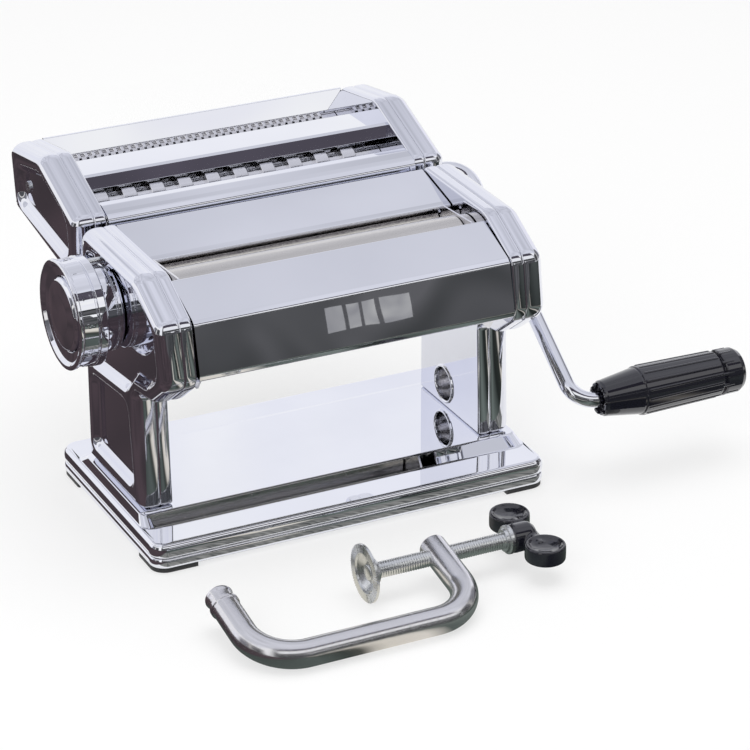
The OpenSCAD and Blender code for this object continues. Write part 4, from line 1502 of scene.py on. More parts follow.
@dataclass
class GapKnob:
    """The knob that sets the roller gap, with its cap and raised numerals.

    Attributes:
        shop: The workshop.
        numerals: Number of numerals.
        step: Angle from one to the next, in degrees.
        first: Angle of the first, in degrees.
        band: Station of the numerals.
        band_radius: Radius of the band they stand on.
        height: Height of a numeral.
        font: Size of its font, over that height.
        raised: How far it stands out.
    """

    shop: Workshop
    numerals: int = 10
    step: float = 30.0
    first: float = 82.0
    band: float = 115.0
    band_radius: float = 25.72
    height: float = 4.4
    font: float = 1.4
    raised: float = 0.28

    def build(self) -> None:
        """Makes the knob, its cap and its numerals."""
        chrome = self.shop.palette["polished_chrome"]
        body = (
            (95.4, 4.3, 0.0), (95.4, 18.6, 0.5), (96.2, 19.7, 0.5), (97.3, 20.8, 0.8),
            (98.8, 20.8, 0.2), (99.1, 20.25, 0.2), (99.6, 20.25, 0.2), (99.9, 20.8, 0.2),
            (106.0, 20.8, 0.0), (106.0, 25.3, 0.5), (106.7, 26.35, 0.7), (110.3, 26.3, 0.4),
            (110.7, 25.5, 0.2), (111.3, 25.5, 0.2), (111.6, 25.95, 0.2), (118.2, 25.6, 0.3),
            (118.7, 25.45, 0.2), (119.0, 26.5, 0.6), (120.6, 26.5, 0.9), (121.0, 25.4, 0.5),
            (120.7, 24.3, 0.6), (119.2, 22.6, 1.2), (118.2, 18.4, 0.6), (117.6, 17.9, 0.0),
            (116.0, 17.9, 0.0), (116.0, 4.3, 0.0),
        )
        drum = self._turned("knob_drum", body, chrome)
        cap = (
            (117.0, 4.3, 0.0), (117.0, 17.75, 0.0), (118.9, 17.75, 0.7), (120.2, 16.4, 1.8),
            (121.05, 10.0, 5.0), (121.35, 0.0, 0.0),
        )
        lid = self._turned("knob_lid", cap, chrome)
        marks = [self._numeral(i) for i in range(self.numerals)]
        drum = join("knob_drum", [drum, *marks])
        self.shop.place(drum, "knob", "chrome", ["adjuster_knob"])
        self.shop.place(lid, "knob", "chrome", ["knob_cap"])

    @staticmethod
    def _turned(name: str, corners: Sequence[Corner], finish: Material) -> Piece:
        """A turned piece on the knob's axis.

        Args:
            name: Name of the piece.
            corners: Profile as (station, radius, rounding).
            finish: Material.

        Returns:
            The object.
        """
        profile = [(-x, r) for x, r in soft_line(corners)]
        return lathe(name, profile, AT.knob, finish, 128, FOLD)

    def _numeral(self, value: int) -> Piece:
        """A raised numeral, bent round the drum.

        Args:
            value: The number.

        Returns:
            The object.
        """
        curve = bpy.data.curves.new(f"numeral_{value}", "FONT")
        curve.body = str(value)
        curve.size = self.height * self.font
        curve.align_x = "CENTER"
        curve.align_y = "CENTER"
        curve.extrude = self.raised
        curve.resolution_u = 6
        text = bpy.data.objects.new(f"numeral_{value}", curve)
        bpy.context.scene.collection.objects.link(text)
        graph = bpy.context.evaluated_depsgraph_get()
        mesh = bpy.data.meshes.new_from_object(text.evaluated_get(graph), depsgraph=graph)
        bpy.data.objects.remove(text)
        bpy.data.curves.remove(curve)
        start = math.radians(self.first + self.step * value)
        for v in mesh.vertices:
            angle = start + v.co.x / self.band_radius
            radius = self.band_radius + v.co.z
            y, z = radius * math.cos(angle), radius * math.sin(angle)
            v.co = Vector((-self.band + v.co.y, AT.knob[0] + y, AT.knob[1] + z)) * MM
        mesh.materials.clear()
        mesh.materials.append(self.shop.palette["polished_chrome"])
        obj = bpy.data.objects.new(f"numeral_{value}", mesh)
        bpy.context.scene.collection.objects.link(obj)
        return obj


# ---------------------------------------------------------------- cutter head


@dataclass
class CutterGuides:
    """The folded sheets across the cutter head.

    Attributes:
        shop: The workshop.
        half: Half the length of the sheets.
        skin: Their thickness.
    """

    shop: Workshop
    half: float = 81.5
    skin: float = 1.0

    def build(self) -> None:
        """Makes the front bar, the middle guide and the rear guide."""
        chrome = self.shop.palette["polished_chrome"]
        bar = (
            (39.4, 106.0, 0.0), (39.4, 132.0, 3.0), (40.0, 135.0, 2.0), (42.0, 137.0, 2.0),
            (44.6, 137.9, 1.5), (48.7, 139.2, 3.0), (53.6, 139.1, 3.0), (57.0, 137.5, 2.0),
            (58.2, 134.7, 0.0),
        )
        section = folded(bar, -self.skin, 6)
        piece = slab("cutter_nose_bar", section, -self.half, self.half, chrome, FOLD)
        self.shop.place(piece, "cutter_head", "chrome", ["cutter_front_bar"])
        middle = (
            (98.5, 140.2, 0.0), (97.9, 143.6, 1.0), (72.6, 146.0, 1.4), (71.1, 145.3, 1.0),
            (67.7, 140.1, 0.0),
        )
        section = folded(middle, self.skin, 6)
        saddle = slab("cutter_saddle", section, -self.half, self.half, chrome, FOLD)
        shield = [(69.9, 142.5), (69.9, 131.8), (70.7, 132.1), (70.7, 143.4)]
        shield = slab("cutter_shield", shield, -self.half, self.half, chrome)
        piece = join("cutter_saddle", [saddle, shield])
        self.shop.place(piece, "cutter_head", "chrome", ["cutter_middle_guide"])
        back = (
            (120.4, 138.0, 0.2), (121.2, 137.4, 0.2), (124.8, 139.6, 0.4), (122.9, 119.0, 0.2),
            (123.9, 119.0, 0.2), (126.6, 146.8, 0.3), (125.0, 146.8, 0.3),
        )
        section = rounded(back, 4)
        piece = slab("cutter_back_guide", section, -self.half, self.half, chrome, FOLD)
        self.shop.place(piece, "cutter_head", "chrome", ["cutter_rear_guide"])


@dataclass(frozen=True)
class Grooves:
    """Discs of a grooved cutter.

    Attributes:
        outer: Radius of a disc.
        root: Radius between the discs.
        pitch: From one disc to the next.
        disc: Width of a disc.
        count: Number of discs.
    """

    outer: float
    root: float
    pitch: float
    disc: float
    count: int


WIDE = Grooves(10.5, 8.0, 14.8, 7.05, 10)
FINE = Grooves(9.0, 6.9, 3.9, 1.75, 37)


@dataclass
class RibbonCutter:
    """One grooved cutter: a turned shaft and a row of discs.

    Attributes:
        shop: The workshop.
        name: Name of the piece.
        body: CAD body.
        axis: Its axis as (y, z).
        grooves: Its discs.
        start: Left face of the first disc.
        driven: Whether it has the crank's socket.
        edge: Bevel of a disc.
        drum: Half the length of the grooved part.
        left_end: Left end of the shaft.
        right_end: Right end of a plain shaft.
        drive_end: Right end of a shaft with the socket.
        journal: Radius of a plain journal.
        drive: Radius of the journal with the socket.
        socket: Radius of the socket.
        socket_bottom: Where the socket ends.
        bevel: Bevel of the shaft's ends.
    """

    shop: Workshop
    name: str
    body: str
    axis: Point2
    grooves: Grooves
    start: float
    driven: bool
    edge: float = 0.22
    drum: float = 81.2
    left_end: float = -85.1
    right_end: float = 90.3
    drive_end: float = 94.5
    journal: float = 4.0
    drive: float = 5.56
    socket: float = 4.06
    socket_bottom: float = 70.5
    bevel: float = 0.4

    def build(self) -> None:
        """Makes the cutter."""
        steel = self.shop.palette["cutter_steel"]
        cut, edge, bevel = self.grooves, self.edge, self.bevel
        left, drum, plain, hole = self.left_end, self.drum, self.journal, self.socket
        line = ((left, 0.0), (left, plain - bevel), (left + bevel, plain), (-drum, plain))
        line += ((-drum, cut.root), (drum, cut.root))
        if self.driven:
            r, end, bottom = self.drive, self.drive_end, self.socket_bottom
            line += ((drum, r), (end - bevel, r), (end, r - 0.9 * bevel))
            line += ((end, hole + 0.6 * bevel), (end - 0.75 * bevel, hole))
            line += ((bottom, hole), (bottom, 0.0))
        else:
            end = self.right_end
            line += ((drum, plain), (end - bevel, plain), (end, plain - bevel), (end, 0.0))
        shaft = lathe(f"{self.name}_shaft", line, self.axis, steel, 48)
        profile = (
            (0.0, cut.root - 1.0), (0.0, cut.outer - edge), (edge, cut.outer),
            (cut.disc - edge, cut.outer), (cut.disc, cut.outer - edge),
            (cut.disc, cut.root - 1.0),
        )
        unit = lathe(f"{self.name}_disc", profile, (0.0, 0.0), steel, 56)
        start, step = (self.start, *self.axis), (cut.pitch, 0.0, 0.0)
        discs = self.shop.repeats.in_row(unit, cut.count, start, step, steel)
        piece = join(self.name, [shaft, discs])
        self.shop.place(piece, self.body, "cutter_metal", [f"{self.body}_cutter"])


# ---------------------------------------------------------------- crank


@dataclass
class Crank:
    """The crank rod and its ribbed grip.

    Attributes:
        shop: The workshop.
        radius: Radius of the rod.
        arm: From the crank's axis to the grip's.
        lean: Direction of the arm along Y and Z.
        bend: Radius of the rod's bends.
        inner_end: Where the rod ends in its socket.
        plane: Station of the arm.
        grip_length: Length of the grip with its cap.
        grip_radius: Radius of the grip.
        nose: Length of its cone.
        cap: Length of its cap.
        ribs: Number of ribs along it.
        teeth: Number of teeth on its nose.
        bars: Number of bars on its cap.
        spindle: Length of the spindle inside it.
        head: Length of the spindle's head.
    """

    shop: Workshop
    radius: float = 4.0
    arm: float = 144.0
    lean: Point2 = (-118.0, -82.0)
    bend: float = 12.0
    inner_end: float = 72.0
    plane: float = 118.0
    grip_length: float = 80.0
    grip_radius: float = 12.6
    nose: float = 23.0
    cap: float = 12.0
    ribs: int = 16
    teeth: int = 8
    bars: int = 12
    spindle: float = 69.0
    head: float = 2.0

    @property
    def slope(self) -> float:
        """Angle of the arm, forward and down, in radians."""
        return math.atan2(self.lean[1], self.lean[0])

    @property
    def grip_axis(self) -> Point2:
        """Axis of the grip as (y, z)."""
        y, z = AT.wide[0]
        return (y + self.arm * math.cos(self.slope), z + self.arm * math.sin(self.slope))

    def build(self) -> None:
        """Makes the rod, the grip and its cap."""
        self.shop.place(self._rod(), "crank", "chrome", ["crank_rod"])
        self.shop.place(self._grip(), "grip", "black_plastic", ["crank_grip"])
        self.shop.place(self._cap(), "grip", "black_plastic", ["crank_grip_cap"])

    def _rod(self) -> Piece:
        """The bent rod with the grip's spindle.

        Returns:
            The object.
        """
        x, r, arm = self.plane, self.bend, self.arm
        line = [(self.inner_end, 0.0), (self.inner_end + 0.6, 0.0)]
        line += arc((x - r, r), r, -90.0, 90.0, 16) + arc((x + r, arm - r), r, 180.0, -90.0, 16)
        neck, tip = x + r + self.head, x + r + self.spindle
        line += [(neck, arm), (neck + 0.05, arm), (tip, arm), (tip + 0.05, arm)]
        line.append((tip + self.head, arm))
        radii = [self.radius - 0.6] + [self.radius] * (len(line) - 5)
        radii += [self.radius - 1.0, self.radius - 1.0, self.radius + 0.8, self.radius + 0.8]
        y, z = AT.wide[0]
        cy, cz = math.cos(self.slope), math.sin(self.slope)
        path = [(x, y + s * cy, z + s * cz) for x, s in line]
        return tube("crank_bent_rod", path, radii, self.shop.palette["polished_chrome"], 40)

    def _grip(self) -> Piece:
        """The grip: castellated nose, cone, ribbed body.

        Returns:
            The object.
        """
        plastic = self.shop.palette["black_plastic"]
        x0 = self.plane + self.bend
        r, n, back = self.grip_radius, self.nose, self.grip_length - self.cap
        corners = (
            (x0 + 3.4, 3.2, 0.0), (x0 + 3.4, 6.0, 0.3), (x0 + 1.6, 6.6, 0.3),
            (x0 + 0.9, 8.0, 0.4), (x0 + 2.2, 8.9, 0.6), (x0 + n - 2.2, r - 0.95, 0.6),
            (x0 + n - 1.4, r - 1.0, 0.2), (x0 + n - 0.9, r - 0.35, 0.4),
            (x0 + n + 1.5, r - 0.35, 0.8), (x0 + back - 2.2, r - 1.15, 0.8),
            (x0 + back - 0.5, r - 2.2, 0.3), (x0 + back, r - 2.2, 0.0), (x0 + back, 3.2, 0.0),
        )
        body = lathe("grip_body", soft_line(corners), self.grip_axis, plastic, 96, FOLD)
        rib = self._rib(x0 + n - 0.4, x0 + back - 1.9, r - 0.9, 0.8)
        tooth = self._tooth(x0)
        repeats, axis = self.shop.repeats, self.grip_axis
        ribs = repeats.round_axis(rib, self.ribs, axis, plastic)
        teeth = repeats.round_axis(tooth, self.teeth, axis, plastic, start=12.0)
        return join("grip_handle", [body, ribs, teeth])

    def _rib(self, x0: float, x1: float, base: float, fall: float) -> Piece:
        """One long rounded rib, modelled round the X axis.

        Args:
            x0: Its start.
            x1: Its end.
            base: Radius it starts on.
            fall: How much lower its far end lies.

        Returns:
            The object.
        """
        b = MeshBuilder()
        rings = []
        half, high, sunk, steps = 0.85, 0.95, 0.8, 6
        ends = ((0.0, 0.25), (0.015, 0.85), (0.03, 1.0))
        for t, grow in (*ends, *((1.0 - t, grow) for t, grow in reversed(ends))):
            x = x0 + (x1 - x0) * t
            low = base - fall * t
            ring = [(x, -half, low - sunk)]
            for k in range(steps + 1):
                a = math.pi * k / steps
                ring.append((x, -half * math.cos(a), low + high * grow * math.sin(a) ** 0.7))
            ring.append((x, half, low - sunk))
            rings.append(ring)
        b.loft(rings)
        return b.make("grip_rib", self.shop.palette["black_plastic"], sharp=50.0)

    def _tooth(self, x0: float) -> Piece:
        """One tooth of the nose's castellated ring, modelled round the X axis.

        Args:
            x0: Start of the grip.

        Returns:
            The object.
        """
        b = MeshBuilder()
        rings = []
        for x, low, high in ((x0 + 0.35, 6.9, 7.9), (x0 + 0.7, 6.6, 8.2), (x0 + 2.6, 6.4, 8.6)):
            ring = []
            for radius, order in ((high, range(5)), (low, range(4, -1, -1))):
                for k in order:
                    a = math.radians(-12.0 + 6.0 * k)
                    ring.append((x, radius * math.sin(a), radius * math.cos(a)))
            rings.append(ring)
        b.loft(rings)
        return b.make("grip_tooth", self.shop.palette["black_plastic"], FOLD)

    def _cap(self) -> Piece:
        """The end cap with a few short raised bars.

        Returns:
            The object.
        """
        plastic = self.shop.palette["black_plastic"]
        x0 = self.plane + self.bend + self.grip_length - self.cap
        r = self.grip_radius - 1.1
        corners = (
            (x0 + 0.1, 6.0, 0.0), (x0 + 0.1, r - 0.5, 0.4), (x0 + 0.8, r, 0.4),
            (x0 + 8.6, r - 0.1, 1.5), (x0 + 11.2, r - 1.4, 1.6), (x0 + 11.9, r - 4.0, 1.6),
            (x0 + 11.5, 0.0, 0.0),
        )
        body = lathe("grip_cap_body", soft_line(corners, 6), self.grip_axis, plastic, 96, FOLD)
        bar = self._rib(x0 + 0.8, x0 + 7.6, r - 0.6, 0.1)
        repeats, axis = self.shop.repeats, self.grip_axis
        bars = repeats.round_axis(bar, self.bars, axis, plastic, start=9.0, uneven=0.02)
        return join("grip_cap", [body, bars])


# ---------------------------------------------------------------- table clamp


@dataclass
class TableClamp:
    """The bent clamp with its threaded screw, collar, wing and swivel pad.

    Attributes:
        shop: The workshop.
        centre: Middle of the frame's long side.
        tilt: Slope of the frame, in degrees.
        radius: Radius of the frame's rod.
        half: Half the distance between its arms.
        arm: Length of the arms.
        bend: Radius of its bends.
        reach: From the long side to the screw.
        thread: Radius of the screw.
        pitch: Pitch of its thread.
        pad: Station of the pad.
        wing: Station of the collar before the wing.
        span: From the screw's axis to the middle of a lobe.
        lobe: From the collar's station to the axis of a lobe.
        melted: Size of the cubes that melt the wing into one piece.
        ridges: Number of ridges on the pad.
    """

    shop: Workshop
    centre: Point3 = (-42.0, -165.0, 4.0)
    tilt: float = 10.6
    radius: float = 6.5
    half: float = 54.0
    arm: float = 50.0
    bend: float = 22.0
    reach: float = 42.0
    thread: float = 4.0
    pitch: float = 1.25
    pad: float = -27.0
    wing: float = 45.0
    span: float = 17.5
    lobe: float = 13.0
    melted: float = 0.42
    ridges: int = 72

    @property
    def screw_axis(self) -> Point2:
        """Axis of the screw as (y, z)."""
        return self._out(0.0, self.reach)[1:]

    def _out(self, x: float, y: float) -> Point3:
        """Turns a point of the tilted clamp into the machine's axes.

        Args:
            x: Across the clamp.
            y: Along its arms.

        Returns:
            The point.
        """
        a, centre = math.radians(self.tilt), self.centre
        return (centre[0] + x, centre[1] + y * math.cos(a), centre[2] + y * math.sin(a))

    def build(self) -> None:
        """Makes every piece of the clamp."""
        self.shop.place(self._frame(), "clamp_frame", "chrome", ["clamp_frame"])
        self.shop.place(self._screw(), "clamp_screw", "zinc", ["clamp_screw"])
        self.shop.place(self._collar(), "clamp_screw", "zinc", ["clamp_collar"])
        self.shop.place(self._wing(), "clamp_screw", "black_plastic", ["clamp_wing"])
        self.shop.place(self._pad(), "clamp_pad", "zinc", ["clamp_pad"])

    def _frame(self) -> Piece:
        """The bent rod, with a shoulder and a flared lip on its plain arm.

        Returns:
            The object.
        """
        h, c, r, bend = self.half, self.half - self.bend, self.radius, self.bend
        tip = (
            (0.0, -1.2), (0.25, -0.4), (0.6, 0.1), (1.2, 0.25), (2.2, 0.05), (3.4, -0.25),
            (6.4, -0.25), (6.8, 0.3), (7.1, 0.6), (8.6, 0.6), (8.9, 0.4), (9.4, 0.0),
        )
        line = [(-h, self.arm - back, r + more) for back, more in tip]
        line += [(x, y, r) for x, y in arc((-c, bend), bend, 180.0, 90.0, 24)]
        line += [(x, y, r) for x, y in arc((c, bend), bend, 270.0, 90.0, 24)]
        plain = ((0.6, 0.0), (0.25, -0.15), (0.0, -0.5))
        line += [(h, self.arm - back, r + more) for back, more in plain]
        path = [self._out(x, y) for x, y, _ in line]
        radii = [size for _, _, size in line]
        return tube("clamp_bow", path, radii, self.shop.palette["satin_chrome"], 48)

    def _screw(self) -> Piece:
        """The screw, with a real helical thread.

        Returns:
            The object.
        """
        y, z = self.screw_axis
        r, depth, run_out, steps = self.thread, 0.55, 1.5, 40
        start, x0, x1 = self.pad + 1.7, self.pad + 6.6, self.wing + 2.0
        ball = (
            (start, 0.0), (start, r - 0.6), (start + 0.4, r - 0.1), (start + 1.0, r - 0.1),
            (start + 1.1, r - 1.5), (x0 - 0.3, r - 1.5), (x0 - 0.2, r - 0.8),
        )
        rings = turned(ball, (y, z), steps)
        count = int((x1 - x0) / (self.pitch / 5))
        for i in range(count + 1):
            x = x0 + (x1 - x0) * i / count
            fade = min(1.0, (x - x0) / run_out, (x1 - x) / run_out)
            ring = []
            for k in range(steps):
                a = 2 * math.pi * k / steps
                phase = (x / self.pitch - k / steps) % 1.0
                radius = r - 0.02 - depth * fade * abs(2 * phase - 1)
                ring.append((x, y + radius * math.cos(a), z + radius * math.sin(a)))
            rings.append(ring)
        rings += turned(((x1 + 0.3, r - 0.3), (x1 + 0.3, 0.0)), (y, z), steps)
        b = MeshBuilder()
        b.loft(rings)
        return b.make(
            "clamp_threaded_rod", self.shop.palette["bright_zinc"], sharp=70.0, weld=0.002
        )

    def _collar(self) -> Piece:
        """The flanged metal collar between thread and wing.

        Returns:
            The object.
        """
        w = self.wing
        corners = (
            (w, 3.4, 0.0), (w, 5.4, 0.3), (w + 1.4, 5.7, 0.3), (w + 1.6, 6.9, 0.3),
            (w + 3.2, 7.0, 0.4), (w + 4.2, 6.4, 0.3), (w + 4.2, 0.0, 0.0),
        )
        zinc = self.shop.palette["bright_zinc"]
        return lathe("clamp_flange", soft_line(corners, 4), self.screw_axis, zinc, 72, FOLD)

    def _wing(self) -> Piece:
        """The moulded wing: a hub and two dished lobes, melted into one skin.

        Returns:
            The object.
        """
        y, z = self.screw_axis
        w = self.wing
        plastic = self.shop.palette["black_plastic"]
        hub_line = (
            (w + 4.0, 0.0, 0.0), (w + 4.0, 6.6, 0.4), (w + 5.0, 7.0, 0.6), (w + 13.5, 6.8, 2.0),
            (w + 16.2, 4.6, 2.0), (w + 16.4, 0.0, 0.0),
        )
        parts = [lathe("wing_hub", soft_line(hub_line), (y, z), plastic, 64)]
        parts += [self._lobe(y + s * self.span, z) for s in (-1, 1)]
        bridge = MeshBuilder()
        rings = []
        turns = circle(0.0, 0.0, 1.0, 24)
        for t in (-1.0, -0.6, -0.3, 0.0, 0.3, 0.6, 1.0):
            high = 3.0 + 1.2 * (1 - abs(t))
            wide = 4.4 + 0.9 * (1 - abs(t))
            py = y + t * (self.span - 4.0)
            rings.append([(w + 12.6 + wide * u, py, z + high * v) for u, v in turns])
        bridge.loft(rings)
        parts.append(bridge.make("wing_bridge", plastic))
        wing = join("clamp_wing_grip", parts)
        melt = wing.modifiers.new("Melt", "REMESH")
        melt.mode = "VOXEL"
        melt.voxel_size = self.melted * MM
        melt.use_smooth_shade = True
        ease = wing.modifiers.new("Ease", "SMOOTH")
        ease.factor = 0.5
        ease.iterations = 7
        bake(wing)
        wing.data.materials.clear()
        wing.data.materials.append(plastic)
        return wing

    def _lobe(self, y: float, z: float) -> Piece:
        """One lobe, a disc with dished faces on a vertical axis.

        Args:
            y: Its centre, front to back.
            z: Its centre height.

        Returns:
            The object.
        """
        corners = (
            (0.0, -1.7, 0.0), (3.5, -1.9, 1.5), (7.0, -2.7, 1.2), (8.7, -4.3, 0.7),
            (9.6, -3.5, 0.8), (9.7, 0.0, 2.0), (9.6, 3.5, 0.8), (8.7, 4.3, 0.7), (7.0, 2.7, 1.2),
            (3.5, 1.9, 1.5), (0.0, 1.7, 0.0),
        )
        b = MeshBuilder()
        rings = []
        for r, h in soft_line(corners, 4):
            turns = circle(self.wing + self.lobe, y, max(r, AXIS), 56)
            rings.append([(px, py, z + h) for px, py in turns])
        b.loft(rings)
        return b.make("wing_lobe", self.shop.palette["black_plastic"])

    def _pad(self) -> Piece:
        """The swivel pad with its serrated working face.

        Returns:
            The object.
        """
        y, z = self.screw_axis
        p = self.pad
        zinc = self.shop.palette["bright_zinc"]
        corners = (
            (p + 1.9, 0.0, 0.0), (p + 2.1, 2.3, 0.5), (p + 3.6, 3.0, 0.4), (p + 3.7, 5.4, 1.0),
            (p + 1.5, 8.6, 0.8), (p + 1.2, 9.2, 0.2), (p + 0.25, 9.6, 0.2), (p + 0.2, 13.8, 0.3),
            (p + 1.5, 14.0, 0.3), (p + 2.5, 10.2, 1.0), (p + 4.4, 7.0, 1.0), (p + 6.0, 6.1, 0.4),
            (p + 6.1, 2.7, 0.0),
        )
        dish = lathe("pad_dish", soft_line(corners, 4), (y, z), zinc, 96, sharp=38.0)
        b = MeshBuilder()
        rings = []
        for r, wide, high in ((9.8, 0.26, 0.25), (13.6, 0.4, 0.32), (13.95, 0.42, 0.28)):
            foot, top = p + 0.35, p + 0.28 - high
            rings.append([(foot, -wide, r), (top, -0.05, r), (top, 0.05, r), (foot, wide, r)])
        b.loft(rings)
        ridge = b.make("pad_ridge", zinc, sharp=20.0)
        ridges = self.shop.repeats.round_axis(ridge, self.ridges, (y, z), zinc, uneven=0.004)
        return join("clamp_swivel_pad", [dish, ridges])


# ---------------------------------------------------------------- small hardware


@dataclass
class Hardware:
    """Small pieces on the stand: a rolled lip and a shallow cup in each clamp hole.

    Attributes:
        shop: The workshop.
        cup_depth: From the plate to the bottom of a cup.
    """

    shop: Workshop
    cup_depth: float = 10.0

    def build(self) -> None:
        """Makes the lips and the cups."""
        chrome, satin = self.shop.palette["polished_chrome"], self.shop.palette["satin_chrome"]
        y, z, r = AT.clamp_hole
        lip = (
            (AT.plate + 1.4, r - 0.05, 0.0), (AT.plate - 0.2, r - 0.05, 0.8),
            (AT.plate - 0.9, r + 0.55, 0.6), (AT.plate - 0.75, r + 1.2, 0.6),
            (AT.plate + 0.05, r + 1.75, 0.5), (AT.plate + 0.15, r + 2.3, 0.0),
        )
        cup = (
            (AT.plate + self.cup_depth, 0.0, 0.0), (AT.plate + self.cup_depth, r - 0.1, 2.5),
            (AT.plate + 1.4, r - 0.1, 0.0),
        )
        for side, name in ((1, "right"), (-1, "left")):
            for part, line, finish in (("lip", lip, chrome), ("cup", cup, satin)):
                b = MeshBuilder()
                b.loft(turned(soft_line(line), (y, z), 72, side), caps=OPEN)
                piece = b.make(f"{name}_hole_{part}", finish, sharp=60.0)
                self.shop.place(piece, "stand", "chrome")


@dataclass
class CarriedNodes:
    """CAD nodes whose shape is right, which only get their finish.

    Attributes:
        shop: The workshop.
        frame: What the frame holds.
        finishes: Names of the nodes, by their finish.
    """

    shop: Workshop
    frame: dict
    finishes: dict[str, tuple[str, ...]] = field(
        default_factory=lambda: {
            "bright_zinc": (
                "leg_screws", "head_tie_rods", "knob_index_pin", "adjuster_shaft",
                "cutter_tie_rods", "cutter_rivets",
            ),
            "satin_chrome": ("pasta_guides", "cutter_rails", "cutter_hooks"),
            "gear_steel": (
                "carrier_guides", "left_carrier", "right_carrier", "front_roller_gear",
                "rear_roller_gear", "adjuster_cam", "wide_drive_gear", "wide_driven_gear",
                "fine_drive_gear", "fine_driven_gear",
            ),
            "white_nylon": (
                "roller_bushes", "roller_scrapers", "cutter_bushes", "wide_comb", "fine_comb",
            ),
        }
    )

    def build(self) -> None:
        """Gives the nodes their materials."""
        for finish, names in self.finishes.items():
            material = self.shop.palette[finish]
            for name in names:
                mesh = self.frame["nodes"][name].data
                mesh.materials.clear()
                mesh.materials.append(material)
                log.info("%-22s keeps its CAD shape, finish %s", name, finish)


# ---------------------------------------------------------------- studio


# Painted shade: the dark of the bands that chrome shows only in its reflections.
PAINTED_DARK_BAND: Point3 = (0.02, 0.024, 0.022)


